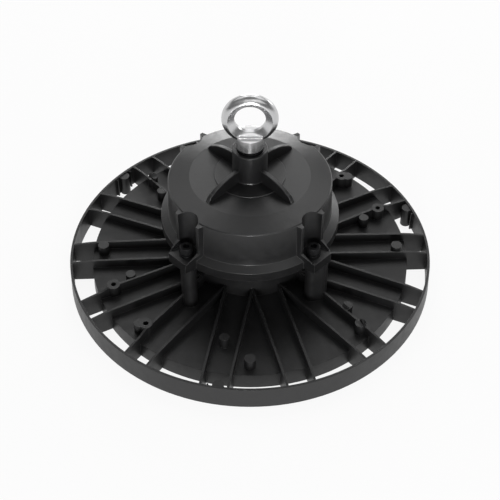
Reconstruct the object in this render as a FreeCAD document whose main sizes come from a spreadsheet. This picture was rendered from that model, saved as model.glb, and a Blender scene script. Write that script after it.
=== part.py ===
import FreeCAD, Part
import math
import os
import re

import Sketcher
from FreeCAD import Placement, Rotation, Vector

# High bay light: a finned heat sink with its LED compartment underneath, a domed driver
# housing on a neck above it, and a lifting eye on top. Millimetres and degrees. +Z is up, the
# origin is the centre of the rim's underside, and the eye's hole runs along Y.

PARTS_FOLDER = "parts"

# name, value, meaning
SIZES = [
    ("rim_radius", 150, "outer radius of the rim at its top"),
    ("rim_draft", 0.8, "how much wider the rim is at its foot"),
    ("rim_wall", 2, "rim wall at its top"),
    ("rim_height", 19, "height of the rim"),
    ("deck_radius", 131.5, "radius of the deck's top"),
    ("deck_draft", 0.5, "how much wider the deck's skirt is at its foot"),
    ("deck_plate", 3.2, "thickness of the deck"),
    ("skirt_wall", 4, "wall of the skirt under the deck"),
    ("ledge_width", 6, "width of the ledge that the lens seats on"),
    ("hub_radius", 49, "outer radius of the hub neck"),
    ("hub_wall", 7, "wall of the hub neck"),
    ("hub_floor_rise", 6.2, "height above the deck of the floor inside the hub neck"),
    ("neck_height", 40.2, "height of the hub neck above the deck"),
    ("lead_hole_radius", 4, "radius of the hole for the leads through the deck"),
    ("fin_pairs", 14, "number of pairs of fins"),
    ("first_pair_angle", 2.3, "direction of the first pair of fins"),
    ("fin_spacing", 21.48, "distance between the two fins of a pair"),
    ("fin_thickness", 1.8, "thickness of a fin"),
    ("fin_slope_length", 11, "length of a fin's slope down to the rim"),
    ("fin_shoulder_drop", 0.4, "how far the top of that slope lies under the crest"),
    ("fin_crest_inset", 1.5, "distance of a fin's crest in from the deck's edge"),
    ("fin_height", 9.8, "height of a fin's crest above the deck"),
    ("fin_root_out", 70, "distance out to the end of a fin's long slope"),
    ("fin_root_drop", 1.3, "how far a fin's top near the hub lies under the crest"),
    ("pin_height", 9.7, "height of the pins and screw bosses above the deck"),
    ("outer_pin_inset", 9, "distance of the outer pins in from the deck's edge"),
    ("outer_pin_radius", 4.5, "radius of an outer pin"),
    ("outer_pins", 8, "number of outer pins"),
    ("inner_pin_inset", 28.5, "distance of the inner pins in from the deck's edge"),
    ("inner_pin_radius", 4, "radius of an inner pin"),
    ("inner_pins", 6, "number of inner pins"),
    ("inner_pin_angle", 18.9, "direction of the first inner pin"),
    ("screw_boss_inset", 12.2, "distance of the accessory screw bosses in from the deck's edge"),
    ("screw_boss_radius", 5.3, "radius of an accessory screw boss"),
    ("screw_boss_angle", 34.6, "direction of the middle of a pair of screw bosses"),
    ("screw_boss_spread", 12.3, "angle from that middle to each boss"),
    ("screw_boss_hole_radius", 2.1, "radius of the tapped hole in a screw boss"),
    ("screw_boss_hole_depth", 9, "depth of that hole"),
    ("rim_bosses", 3, "number of reflector bosses on the rim"),
    ("rim_boss_inset", 2, "distance of the reflector bosses' middles in from the rim's wall"),
    ("rim_boss_radius", 4.5, "radius of a reflector boss"),
    ("rim_boss_drop", 0.8, "how far a reflector boss stays under the rim's top"),
    ("rim_boss_angle", 20.5, "direction of the first reflector boss"),
    ("reflector_hole_radius", 1.65, "radius of the tapped hole in a reflector boss"),
    ("reflector_hole_depth", 12, "depth of that hole"),
    ("rim_rib_thickness", 1.2, "thickness of the ribs beside a reflector boss"),
    ("rim_rib_depth", 2.2, "how far those ribs stand in from the rim"),
    ("rim_rib_aside", 8, "distance of those ribs from the middle of the boss"),
    ("leg_radius", 5.8, "radius of the ends of a leg's section"),
    ("leg_width", 6.8, "distance between the two ends of a leg's section"),
    ("leg_angle", 60, "turn of a leg's section"),
    ("screw_hole_spare", 4, "how much deeper a leg's tapped hole is than its screw"),

    ("foot_flare", 6, "how far the housing's foot stands out from the wall"),
    ("foot_height", 8, "height of the foot's upright edge"),
    ("flare_height", 3.5, "height of the slope above the foot"),
    ("wall_draft", 0.9, "how much wider the wall is at its foot"),
    ("dome_radius", 65.1, "radius at the edge of the dome"),
    ("housing_height", 43, "height of the housing from its foot to the edge of the dome"),
    ("dome_edge_chamfer", 0.8, "chamfer round the edge of the dome"),
    ("crown_radius", 48, "radius of the dome's flatter middle"),
    ("crown_rise", 3.5, "height of the edge of that middle above the edge of the dome"),
    ("crease_radius", 28.4, "radius of the crease inside it"),
    ("crease_rise", 0.8, "height of the crease above that"),
    ("boss_radius", 13.8, "radius of the boss for the eye bolt"),
    ("boss_height", 26.7, "height of the boss above the crease"),
    ("boss_chamfer", 0.5, "chamfer of the boss's top edge"),
    ("boss_fillet", 2, "fillet at the root of the boss"),
    ("boss_wall", 2.8, "wall round the recess in the boss"),
    ("recess_depth", 1.5, "depth of the recess in the boss"),
    ("housing_wall", 3, "side wall of the housing"),
    ("housing_roof", 3.5, "roof of the housing"),
    ("lid_flange_width", 7.2, "width of the flange that the base plate seats on"),
    ("lid_flange_height", 4.5, "thickness of that flange"),
    ("lugs", 4, "number of lugs, ribs and legs"),
    ("lug_angle", 45, "direction of the first lug"),
    ("screw_offset", 4.9, "distance of the housing screws out from the edge of the dome"),
    ("lug_root_inset", 9, "distance of a lug's root in from its screw"),
    ("lug_root_half", 14.5, "half the width of a lug at its root"),
    ("lug_face_inset", 1.7, "distance of a lug's upright face in from its screw"),
    ("lug_cheek_rise", 5, "height above the lug's floor where its cheeks leave that face"),
    ("lug_reach", 10.3, "distance of a lug's tip out from its screw"),
    ("lug_tip_half", 9.5, "half the width of a lug at its tip"),
    ("lug_thickness", 9, "height of a lug's floor and tip above the housing's foot"),
    ("channel_radius", 10.2, "radius of the screw channel in a lug"),
    ("channel_wall", 3, "wall round the screw channel inside the housing"),
    ("seat_depth", 0.4, "depth of the screw seat in a lug's floor"),
    ("seat_radius", 9, "radius of the screw seat"),
    ("seat_lip", 3.8, "width of the lip left outside the screw seat"),
    ("rib_thickness", 3, "thickness of a dome rib"),
    ("rib_root_rise", 11.7, "height above the crease of a dome rib at the boss"),
    ("rib_root_length", 2.9, "length of the rib's level root"),
    ("rib_knee_length", 3, "length of the slope from the root to the knee"),
    ("rib_knee_rise", 9.7, "height of the knee above the crease"),
    ("rib_end_length", 7.2, "length of the rib's rounded end"),
    ("rib_end_rise", 5.7, "height above the crease where the rounded end starts"),
    ("rib_end_out", 46.5, "distance out to the end of the rib"),
    ("rib_end_bend", 10, "radius of the rib's rounded end"),
    ("gland_rise", 8.5, "height of the cable gland's axis above the slope"),
    ("gland_seat_radius", 10, "radius of the flat seat for the cable gland"),
    ("gland_seat_proud", 2.4, "how far that seat stands out from the edge of the dome"),
    ("gland_seat_depth", 0.8, "how far the seat reaches into the housing"),

    ("screw_radius", 3, "radius of the housing screws"),
    ("screw_head_radius", 5, "radius of a housing screw's head"),
    ("screw_head_height", 6, "height of a housing screw's head"),
    ("screw_length", 22, "length of a housing screw under its head"),
    ("socket_across", 5, "width across the flats of the hexagon socket"),
    ("socket_depth", 3, "depth of the hexagon socket"),
    ("screw_washer_radius", 6, "radius of the housing screws' washers"),
    ("screw_washer_thickness", 1.6, "thickness of those washers"),
    ("screw_chamfer", 0.4, "chamfer of a housing screw's head and end"),
    ("hole_clearance", 0.3, "radial clearance of a plain screw hole"),
    ("thread_clearance", 0.05, "radial clearance of a threaded hole"),
    ("fit_clearance", 0.3, "radial clearance of a piece in its recess"),

    ("eye_sink", 6.55, "how far the eye sinks into the collar"),
    ("eye_radius", 21.75, "outer radius of the eye"),
    ("eye_half_width", 5.5, "half the width of the eye along its hole"),
    ("eye_taper", 5.1, "how far the eye's sharp front and back edges stand out from its hole"),
    ("eye_bore", 12, "radius of the eye's hole"),
    ("eye_land", 3, "length of the hole's straight middle"),
    ("eye_fill_drop", 0.4, "how far the block that fills the eye's foot stays under the hole"),
    ("collar_radius", 11, "radius of the eye bolt's collar"),
    ("collar_height", 11, "height of the collar's straight side"),
    ("shank_radius", 5, "radius of the eye bolt's shank"),
    ("shank_length", 24, "length of the shank"),
    ("shank_hole_spare", 2, "how much deeper the tapped hole is than the shank"),
    ("eye_chamfer", 0.5, "chamfer of the shank's end and of the collar's foot"),
    ("eye_washer_radius", 10, "radius of the washer under the collar"),
    ("eye_washer_thickness", 2, "thickness of that washer"),
    ("eye_spring_radius", 8.8, "radius of the spring washer under the collar"),
    ("eye_spring_thickness", 2, "thickness of the spring washer"),
    ("eye_spring_gap", 1.2, "gap in the spring washer"),

    ("neck_gasket_thickness", 1, "gasket between the hub neck and the base plate"),
    ("neck_gasket_margin", 0.5, "how far that gasket stays inside the neck's edges"),
    ("base_plate_thickness", 2, "thickness of the base plate"),
    ("lid_margin", 1.5, "wall left between the base plate's recess and the housing screws"),
    ("base_gasket_thickness", 1, "gasket between the base plate and the housing"),
    ("base_screws", 8, "number of the base plate's screws"),
    ("base_screw_angle", 22.5, "direction of the first of those screws"),
    ("base_screw_length", 7, "length of those screws under their heads"),
    ("small_screw_radius", 1.5, "radius of the small screws"),
    ("small_head_radius", 2.75, "radius of a small screw's head"),
    ("small_head_height", 2, "height of a small screw's head"),
    ("small_head_crown", 0.5, "chamfer round the top of a small head"),
    ("small_cross_width", 0.9, "width of the cross recess in a small head"),
    ("small_cross_length", 3.2, "length of the cross recess"),
    ("small_cross_depth", 1, "depth of the cross recess"),
    ("grommet_hole_radius", 6, "radius of the grommet's hole in the base plate"),
    ("grommet_bore", 3, "radius of the grommet's bore"),
    ("grommet_lip", 2, "how far the grommet's lips stand out from its hole"),
    ("grommet_lip_thickness", 1.2, "thickness of the grommet's lips"),
    ("sheet_margin", 1.5, "distance of the sheet's edge in from the flange"),
    ("sheet_thickness", 0.4, "thickness of the insulating sheet"),

    ("board_margin", 2.8, "distance of the driver board's edge from the channels"),
    ("board_thickness", 1.6, "thickness of the driver board"),
    ("standoff_inset", 6, "distance of the standoffs in from the board's edge"),
    ("standoffs", 4, "number of standoffs"),
    ("standoff_height", 6, "height of a standoff"),
    ("standoff_radius", 3, "radius of a standoff"),
    ("standoff_stud_radius", 1.9, "radius of the stud that is swaged into the base plate"),
    ("board_screw_length", 6, "length of the board's screws under their heads"),
    ("transformer_x", -21, "place of the transformer"),
    ("transformer_y", -7, "place of the transformer"),
    ("core_length", 32, "length of the transformer's core"),
    ("core_width", 13, "width of the transformer's core"),
    ("core_height", 27, "height of the transformer's core"),
    ("core_window", 18, "length of the window in the core"),
    ("core_window_height", 17, "height of the window in the core"),
    ("winding_width", 25, "width of the winding"),
    ("choke_inset", 10, "distance of the choke in from the board's edge"),
    ("choke_angle", 49, "direction of the choke"),
    ("choke_ring_radius", 8.4, "radius of the choke's ring"),
    ("choke_wire_radius", 3.6, "radius of the choke's section"),
    ("capacitor_inset", 10, "distance of the capacitors in from the board's edge"),
    ("capacitors", 3, "number of capacitors"),
    ("capacitor_gap", 2.6, "gap between two capacitors"),
    ("capacitor_angle", -65, "direction of the first capacitor"),
    ("capacitor_radius", 8, "radius of a capacitor"),
    ("capacitor_height", 25, "height of a capacitor"),
    ("capacitor_chamfer", 1, "chamfer of a capacitor's edges"),
    ("terminal_x", -7, "place of the mains terminal"),
    ("terminal_margin", 3.5, "gap between the mains terminal and a standoff"),
    ("terminal_length", 19, "length of the mains terminal"),
    ("terminal_width", 11, "width of the mains terminal"),
    ("terminal_height", 13, "height of the mains terminal"),
    ("terminal_pitch", 6, "distance between the terminal's ways"),
    ("terminal_way_radius", 2, "radius of a wire entry and of a clamp opening"),
    ("terminal_way_height", 4.5, "height of the wire entries above the board"),
    ("terminal_way_depth", 7, "depth of the wire entries and clamp openings"),
    ("earth_inset", 6, "distance of the earth screw in from the sheet's edge"),
    ("earth_angle", 120, "direction of the earth screw"),
    ("earth_screw_radius", 2, "radius of the earth screw"),
    ("earth_head_radius", 3.8, "radius of the earth screw's head"),
    ("earth_head_height", 2.6, "height of the earth screw's head"),
    ("earth_head_crown", 0.6, "chamfer round the top of that head"),
    ("lead_radius", 1, "radius of an output lead"),
    ("lead_spacing", 2.8, "distance between the two output leads"),

    ("gland_thread_radius", 6, "radius of the gland's thread"),
    ("gland_hex_across", 15, "width across the flats of the gland's hexagon"),
    ("gland_hex_length", 4, "length of the gland's hexagon"),
    ("gland_stub_radius", 5.6, "radius of the gland's outer stub"),
    ("gland_stub_length", 6, "length of the gland's outer stub"),
    ("gland_bore", 4.4, "radius of the bore through the gland"),
    ("gland_seal_bore", 3.25, "radius of the seal's bore, where the mains cord goes"),
    ("gland_seal_length", 9, "length of the seal"),
    ("gland_seal_clearance", 0.1, "radial clearance of the seal in the gland"),
    ("gland_cap_length", 12.5, "length of the gland's cap"),
    ("gland_cap_end", 2.5, "thickness of the cap's end"),
    ("gland_cap_nose", 3, "length of the cap's rounded nose"),
    ("gland_cap_nose_radius", 5.4, "radius of the cap's end face"),
    ("gland_cap_hole", 3.8, "radius of the hole in the cap's end"),
    ("gland_nut_across", 17, "width across the flats of the gland's nut"),
    ("gland_nut_thickness", 4, "thickness of the gland's nut"),
    ("gland_thread_spare", 1, "how far the gland's thread stands out of its nut"),

    ("lens_inset", 2.4, "height of the lens ring's underside"),
    ("lens_ring_thickness", 1.5, "thickness of the lens ring"),
    ("lens_ring_width", 8.5, "width of the lens ring"),
    ("lens_thickness", 2, "thickness of the lens plate"),
    ("lens_gasket_thickness", 1, "thickness of the lens gasket"),
    ("lens_screws", 8, "number of the lens ring's screws"),
    ("lens_screw_length", 11, "length of those screws under their heads"),
    ("led_board_margin", 3.5, "distance from the LED board's edge to the ledge"),
    ("led_board_thickness", 1.6, "thickness of the LED board"),
    ("thermal_pad_thickness", 0.5, "thickness of the thermal pad"),
    ("led_screw_length", 7, "length of the LED board's screws under their heads"),
    ("led_side", 3, "side of an LED package"),
    ("led_height", 0.8, "height of an LED package"),
    ("led_clearance", 0.6, "gap between the lens plate and the LED board's screw heads"),
    ("led_edge_margin", 7, "distance of the last ring in from the LED board's edge"),
    ("led_rings", 6, "number of rings of LED packages"),
    ("led_first_ring", 24, "radius of the first ring"),
    ("led_first_count", 8, "number of packages in the first ring"),
    ("led_count_step", 6, "how many more each next ring has"),
]

# name, formula: heights and distances that follow from the sizes
DERIVED = {
    "lens_foot": "lens_inset + lens_ring_thickness",
    "lens_top": "lens_foot + lens_thickness",
    "ledge_height": "lens_top + lens_gasket_thickness",
    "led_board_foot": "lens_top + led_clearance + small_head_height",
    "led_board_top": "led_board_foot + led_board_thickness",
    "deck_roof": "led_board_top + thermal_pad_thickness",
    "deck_middle": "deck_roof + deck_plate / 2",
    "deck_top": "deck_roof + deck_plate",
    "deck_foot_radius": "deck_radius + deck_draft",
    "lens_recess_radius": "deck_radius - skirt_wall",
    "lens_radius": "lens_recess_radius - fit_clearance",
    "ledge_radius": "lens_recess_radius - ledge_width",
    "lens_screw_circle": "lens_recess_radius - ledge_width / 2",
    "led_board_radius": "ledge_radius - led_board_margin",
    "led_ring_step": "(led_board_radius - led_edge_margin - led_first_ring) / (led_rings - 1)",
    "rim_foot_radius": "rim_radius + rim_draft",
    "rim_inner": "rim_radius - rim_wall",
    "rim_middle": "rim_radius - rim_wall / 2",
    "rim_boss_circle": "rim_inner - rim_boss_inset",
    "rim_boss_top": "rim_height - rim_boss_drop",
    "hub_bore": "hub_radius - hub_wall",
    "hub_middle": "hub_radius - hub_wall / 2",
    "hub_floor": "deck_top + hub_floor_rise",
    "neck_top": "deck_top + neck_height",
    "fin_crest_height": "deck_top + fin_height",
    "fin_crest_out": "deck_radius - fin_crest_inset",
    "fin_shoulder_height": "fin_crest_height - fin_shoulder_drop",
    "fin_shoulder_out": "rim_inner - fin_slope_length",
    "fin_root_height": "fin_crest_height - fin_root_drop",
    "pin_top": "deck_top + pin_height",
    "outer_pin_circle": "deck_radius - outer_pin_inset",
    "inner_pin_circle": "deck_radius - inner_pin_inset",
    "screw_boss_circle": "deck_radius - screw_boss_inset",

    "housing_foot": "neck_top + neck_gasket_thickness",
    "foot_top": "housing_foot + foot_height",
    "shoulder_height": "foot_top + flare_height",
    "dome_edge_height": "housing_foot + housing_height",
    "crown_height": "dome_edge_height + crown_rise",
    "crease_height": "crown_height + crease_rise",
    "boss_top": "crease_height + boss_height",
    "recess_floor": "boss_top - recess_depth",
    "shoulder_radius": "dome_radius + wall_draft",
    "foot_radius": "shoulder_radius + foot_flare",
    "recess_radius": "boss_radius - boss_wall",
    "cavity_radius": "dome_radius - housing_wall",
    "cavity_edge_height": "dome_edge_height - housing_roof",
    "screw_circle": "dome_radius + screw_offset",
    "lug_root_out": "screw_circle - lug_root_inset",
    "lug_face_out": "screw_circle - lug_face_inset",
    "lug_tip_out": "screw_circle + lug_reach",
    "lug_floor": "housing_foot + lug_thickness",
    "lug_cheek_height": "lug_floor + lug_cheek_rise",
    "seat_end_out": "lug_tip_out - seat_lip",
    "seat_height": "lug_floor - seat_depth",
    "head_foot": "seat_height + screw_washer_thickness",
    "leg_hole_depth": "screw_length - (head_foot - housing_foot) + screw_hole_spare",
    "rib_root_out": "boss_radius + rib_root_length",
    "rib_root_height": "crease_height + rib_root_rise",
    "rib_knee_out": "rib_root_out + rib_knee_length",
    "rib_knee_height": "crease_height + rib_knee_rise",
    "rib_end_start_out": "rib_end_out - rib_end_length",
    "rib_end_start_height": "crease_height + rib_end_rise",

    "plate_top": "housing_foot + base_plate_thickness",
    "lid_seat": "plate_top + base_gasket_thickness",
    "lid_radius": "screw_circle - screw_radius - hole_clearance - lid_margin",
    "plate_radius": "lid_radius - fit_clearance",
    "lid_flange_radius": "lid_radius - lid_flange_width",
    "base_screw_circle": "lid_radius - lid_flange_width / 2",
    "sheet_radius": "lid_flange_radius - sheet_margin",
    "board_foot": "plate_top + standoff_height",
    "board_top": "board_foot + board_thickness",
    "board_radius": "screw_circle - channel_radius - channel_wall - board_margin",
    "standoff_circle": "board_radius - standoff_inset",
    "capacitor_circle": "board_radius - capacitor_inset - capacitor_radius",
    "terminal_y": "standoff_circle - standoff_radius - terminal_margin - terminal_width / 2",
    "choke_circle": "board_radius - choke_inset - choke_ring_radius - choke_wire_radius",
    "earth_circle": "sheet_radius - earth_inset",

    "eye_spring_foot": "recess_floor + eye_washer_thickness",
    "collar_foot": "eye_spring_foot + eye_spring_thickness",
    "collar_top": "collar_foot + collar_height",
    "eye_height": "collar_top + eye_radius - eye_sink",
    "eye_crest_radius": "eye_bore + eye_taper",
    "eye_fill_height": "eye_height - eye_bore - eye_fill_drop",

    "gland_height": "shoulder_height + gland_rise",
    "gland_seat_out": "dome_radius + gland_seat_proud",
    "gland_seat_in": "cavity_radius - gland_seat_depth",
    "gland_cap_start": "gland_seat_out + gland_hex_length + fit_clearance",
    "gland_cap_stop": "gland_seat_out + gland_hex_length + gland_cap_length",
    "gland_seal_stop": "gland_cap_stop - gland_cap_end",
    "gland_seal_start": "gland_seal_stop - gland_seal_length",
}

FUNCTIONS = {"asin", "cos", "sin", "sqrt"}

document = FreeCAD.newDocument("high_bay_light")
sheet = document.addObject("Spreadsheet::Sheet", "sizes")
for row, (alias, value, meaning) in enumerate(SIZES, 1):
    sheet.set(f"A{row}", alias)
    sheet.set(f"B{row}", str(value))
    sheet.setAlias(f"B{row}", alias)
    sheet.set(f"C{row}", meaning)
document.recompute()


# Formulas ---------------------------------------------------------------------------------

def spelled(word):
    """Give the sheet's form of one word of a formula: a function, a derived value or a size."""
    name = word[0]
    if name in FUNCTIONS:
        return name
    if name in DERIVED:
        return "(" + formula(DERIVED[name]) + ")"
    return "sizes." + name


def formula(text):
    """Give the sheet's form of a formula that names sizes and derived values."""
    return re.sub(r"[a-z][a-z_]*", spelled, text)


def number(text):
    """Work out a formula's present value."""
    return float(sheet.evalExpression(formula(text)))


def bind(thing, attribute, text):
    """Tie an attribute to a formula."""
    thing.setExpression(attribute, formula(text))


def place(out, aside, turn):
    """X and Y of a point that lies out along a direction and aside of it."""
    return (f"({out}) * cos({turn}) - ({aside}) * sin({turn})",
            f"({out}) * sin({turn}) + ({aside}) * cos({turn})")


# Bodies and sketches ----------------------------------------------------------------------

def new_body(label):
    body = document.addObject("PartDesign::Body", label)
    body.Label = label
    body.AllowCompound = True
    body.Placement = Placement()
    return body


def origin_part(body, role):
    return next(part for part in body.Origin.OriginFeatures if part.Role == role)


def attach(body, name, plane, offset, turn, turn_axis):
    """Attach a sketch to one of the body's own planes, moved and turned."""
    sketch = body.newObject("Sketcher::SketchObject", f"{body.Name}_{name}")
    sketch.AttachmentSupport = [(origin_part(body, plane), "")]
    sketch.MapMode = "FlatFace"
    sketch.AttachmentOffset = Placement(Vector(*map(number, offset)), Rotation(turn_axis, number(turn)))
    for axis, text in zip("xyz", offset):
        bind(sketch, f"AttachmentOffset.Base.{axis}", text)
    if number(turn):
        bind(sketch, "AttachmentOffset.Rotation.Angle", turn)
    return sketch


def flat(body, name, height, out="0", aside="0", turn="0"):
    """A level sketch at a height; its x runs outwards along the turned direction."""
    x, y = place(out, aside, turn)
    return attach(body, name, "XY_Plane", (x, y, height), turn, Vector(0, 0, 1))


def upright(body, name, out="0", aside="0", turn="0"):
    """An upright sketch; its x runs outwards along the turned direction and its y is height."""
    x, y = place(out, aside, turn)
    return attach(body, name, "XZ_Plane", (x, "0", f"0 - ({y})"), turn, Vector(0, 1, 0))


def lengthways(body, name, height):
    """An upright sketch in the YZ plane, whose x runs along Y at a height."""
    return attach(body, name, "YZ_Plane", ("0", height, "0"), "0", Vector(0, 0, 1))


def fix_point(sketch, edge, end, x, y):
    """Hold one point of an edge at x and y."""
    for kind, text in (("DistanceX", x), ("DistanceY", y)):
        held = sketch.addConstraint(Sketcher.Constraint(kind, -1, 1, edge, end, number(text)))
        bind(sketch, f"Constraints[{held}]", text)


def fix_radius(sketch, edge, radius):
    held = sketch.addConstraint(Sketcher.Constraint("Radius", edge, number(radius)))
    bind(sketch, f"Constraints[{held}]", radius)


def arc(start, end, radius, leftwards):
    """The shorter arc between two points; leftwards, it turns left on its way."""
    chord = end - start
    half = chord.Length / 2
    side = Vector(-chord.y, chord.x, 0).normalize() * math.sqrt(max(radius ** 2 - half ** 2, 0))
    centre = (start + end) * 0.5 + (side if leftwards else -side)
    first, last = (start, end) if leftwards else (end, start)
    angles = [math.atan2(point.y - centre.y, point.x - centre.x) for point in (first, last)]
    return Part.ArcOfCircle(Part.Circle(centre, Vector(0, 0, 1), radius), *angles)


def outline(sketch, corners):
    """Draw a closed outline. A corner is (x, y), or (x, y, radius, "left" or "right") where
    an arc that turns that way leads to the next corner."""
    points = [Vector(number(corner[0]), number(corner[1]), 0) for corner in corners]
    count = len(corners)
    edges, starts, ends = [], [], []
    for index, corner in enumerate(corners):
        start, end = points[index], points[(index + 1) % count]
        if len(corner) == 2:
            edge = Part.LineSegment(start, end)
        else:
            edge = arc(start, end, number(corner[2]), corner[3] == "left")
        backwards = len(corner) > 2 and corner[3] == "right"
        edges.append(sketch.addGeometry(edge, False))
        starts.append(2 if backwards else 1)
        ends.append(1 if backwards else 2)
    for index, corner in enumerate(corners):
        before = index - 1
        sketch.addConstraint(
            Sketcher.Constraint("Coincident", edges[before], ends[before], edges[index], starts[index]))
        fix_point(sketch, edges[index], starts[index], corner[0], corner[1])
        if len(corner) > 2:
            fix_radius(sketch, edges[index], corner[2])


def circle(sketch, radius, x="0", y="0"):
    centre = Vector(number(x), number(y), 0)
    edge = sketch.addGeometry(Part.Circle(centre, Vector(0, 0, 1), number(radius)), False)
    fix_point(sketch, edge, 3, x, y)
    fix_radius(sketch, edge, radius)


def box(sketch, length, width, x="0", y="0"):
    """A rectangle about its centre."""
    outline(sketch, [(f"{x} {a} ({length}) / 2", f"{y} {b} ({width}) / 2")
                     for a, b in (("-", "-"), ("+", "-"), ("+", "+"), ("-", "+"))])


def hexagon(sketch, across, x="0", y="0"):
    outline(sketch, [(f"{x} + {across} / sqrt(3) * cos({60 * step})",
                      f"{y} + {across} / sqrt(3) * sin({60 * step})") for step in range(6)])


def add(body, kind, name, sketch=None):
    feature = body.newObject("PartDesign::" + kind, f"{body.Name}_{name}")
    feature.Refine = False
    if sketch:
        feature.Profile = sketch
    body.Tip = feature
    return feature


def pad(body, name, sketch, length, cut=False, both=False, back=False):
    """Raise a sketch, or cut it away: to one side, the other side or both."""
    feature = add(body, "Pocket" if cut else "Pad", name, sketch)
    feature.SideType = "Symmetric" if both else "One side"
    feature.Reversed = back
    bind(feature, "Length", length)
    return feature


def spin(body, name, sketch, cut=False, axis="V_Axis"):
    """Turn a sketch all the way round its own upright or level axis."""
    feature = add(body, "Groove" if cut else "Revolution", name, sketch)
    feature.ReferenceAxis = (sketch, [axis])
    feature.Angle = 360
    return feature


def repeat(body, name, features, count, step=None):
    """Repeat features round the Z axis, evenly or with a set angle between them."""
    pattern = add(body, "PolarPattern", name)
    pattern.Originals = features
    pattern.Axis = (origin_part(body, "Z_Axis"), [""])
    if step:
        pattern.Mode = "Spacing"
        bind(pattern, "Offset", step)
    else:
        pattern.Angle = 360
    bind(pattern, "Occurrences", count)
    return pattern


# Heat sink --------------------------------------------------------------------------------

SCREW_BOSSES = (("near", "screw_boss_angle - screw_boss_spread"),
                ("far", "screw_boss_angle + screw_boss_spread"))


def build_heat_sink():
    body = new_body("heat_sink")
    add_deck(body)
    add_rim(body)
    add_pins(body)
    add_screw_bosses(body)
    add_reflector_bosses(body)
    add_legs(body)
    add_fins(body)
    drill_top(body)
    drill_underside(body)


def add_deck(body):
    """Deck, skirt, lens ledge and hollow hub neck, turned as one section."""
    section = upright(body, "deck_section")
    outline(section, [
        ("lead_hole_radius", "deck_roof"),
        ("ledge_radius", "deck_roof"),
        ("ledge_radius", "ledge_height"),
        ("lens_recess_radius", "ledge_height"),
        ("lens_recess_radius", "0"),
        ("deck_foot_radius", "0"),
        ("deck_radius", "deck_top"),
        ("hub_radius", "deck_top"),
        ("hub_radius", "neck_top"),
        ("hub_bore", "neck_top"),
        ("hub_bore", "hub_floor"),
        ("lead_hole_radius", "hub_floor"),
    ])
    spin(body, "deck", section)


def add_rim(body):
    section = upright(body, "rim_section")
    outline(section, [
        ("rim_inner", "0"),
        ("rim_foot_radius", "0"),
        ("rim_radius", "rim_height"),
        ("rim_inner", "rim_height"),
    ])
    spin(body, "rim", section)


def add_pins(body):
    """Two circles of flat-topped ejector pins between the fins."""
    for name, turn in (("outer", "0"), ("inner", "inner_pin_angle")):
        ends = flat(body, f"{name}_pin_end", "deck_middle", out=f"{name}_pin_circle", turn=turn)
        circle(ends, f"{name}_pin_radius")
        pin = pad(body, f"{name}_pin", ends, "pin_top - deck_middle")
        repeat(body, f"{name}_pins", [pin], f"{name}_pins")


def add_screw_bosses(body):
    """Two opposite pairs of bosses for accessory screws."""
    bosses = []
    for name, turn in SCREW_BOSSES:
        foot = flat(body, f"screw_boss_foot_{name}", "deck_middle", out="screw_boss_circle", turn=turn)
        circle(foot, "screw_boss_radius")
        bosses.append(pad(body, f"screw_boss_{name}", foot, "pin_top - deck_middle"))
    repeat(body, "screw_bosses", bosses, "2")


def add_reflector_bosses(body):
    """Half-round bosses inside the rim, each between two small ribs."""
    half_chord = "sqrt(rim_boss_radius ^ 2 - (rim_middle - rim_boss_circle) ^ 2)"
    foot = flat(body, "rim_boss_foot", "0", turn="rim_boss_angle")
    outline(foot, [
        ("rim_middle", f"0 - {half_chord}"),
        ("rim_middle", half_chord, "rim_boss_radius", "left"),
        ("rim_boss_circle - rim_boss_radius", "0", "rim_boss_radius", "left"),
    ])
    made = [pad(body, "rim_boss", foot, "rim_boss_top")]
    for name, side in (("left", "rim_rib_aside"), ("right", "0 - rim_rib_aside")):
        rib = flat(body, f"rim_rib_foot_{name}", "0", aside=side, turn="rim_boss_angle")
        box(rib, "rim_rib_depth + rim_wall / 2", "rim_rib_thickness",
            x="(rim_middle - (rim_rib_depth + rim_wall / 2) / 2)")
        made.append(pad(body, f"rim_rib_{name}", rib, "rim_boss_top"))
    repeat(body, "rim_bosses", made, "rim_bosses")


def add_legs(body):
    """Pillars of slot-shaped section that carry the driver housing's lugs."""
    far_x = "leg_width * cos(leg_angle)"
    far_y = "leg_width * sin(leg_angle)"
    side_x = "leg_radius * sin(leg_angle)"
    side_y = "leg_radius * cos(leg_angle)"
    foot = flat(body, "leg_foot", "deck_middle", out="screw_circle", turn="lug_angle")
    outline(foot, [
        (side_x, f"0 - {side_y}"),
        (f"{far_x} + {side_x}", f"{far_y} - {side_y}", "leg_radius", "left"),
        (f"{far_x} + {side_y}", f"{far_y} + {side_x}", "leg_radius", "left"),
        (f"{far_x} - {side_x}", f"{far_y} + {side_y}"),
        (f"0 - {side_x}", side_y, "leg_radius", "left"),
        (f"0 - {side_y}", f"0 - {side_x}", "leg_radius", "left"),
    ])
    leg = pad(body, "leg", foot, "housing_foot - deck_middle")
    repeat(body, "legs", [leg], "lugs")


def add_fins(body):
    """Pairs of straight fins from the hub, across the open gap, to the rim."""
    inner_end = "sqrt(rim_inner ^ 2 - fin_spacing ^ 2 / 4)"
    pair = []
    for name, side in (("left", "fin_spacing / 2"), ("right", "0 - fin_spacing / 2")):
        profile = upright(body, f"fin_profile_{name}", aside=side, turn="first_pair_angle")
        outline(profile, [
            ("hub_middle", "deck_middle"),
            ("deck_radius - skirt_wall / 2", "deck_middle"),
            ("deck_radius - skirt_wall / 2", "0"),
            ("rim_middle", "0"),
            ("rim_middle", "rim_height"),
            (inner_end, "rim_height"),
            ("fin_shoulder_out", "fin_shoulder_height"),
            ("fin_crest_out", "fin_crest_height"),
            ("fin_root_out", "fin_root_height"),
            ("hub_middle", "fin_root_height"),
        ])
        pair.append(pad(body, f"fin_{name}", profile, "fin_thickness", both=True))
    repeat(body, "fins", pair, "fin_pairs")


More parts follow.
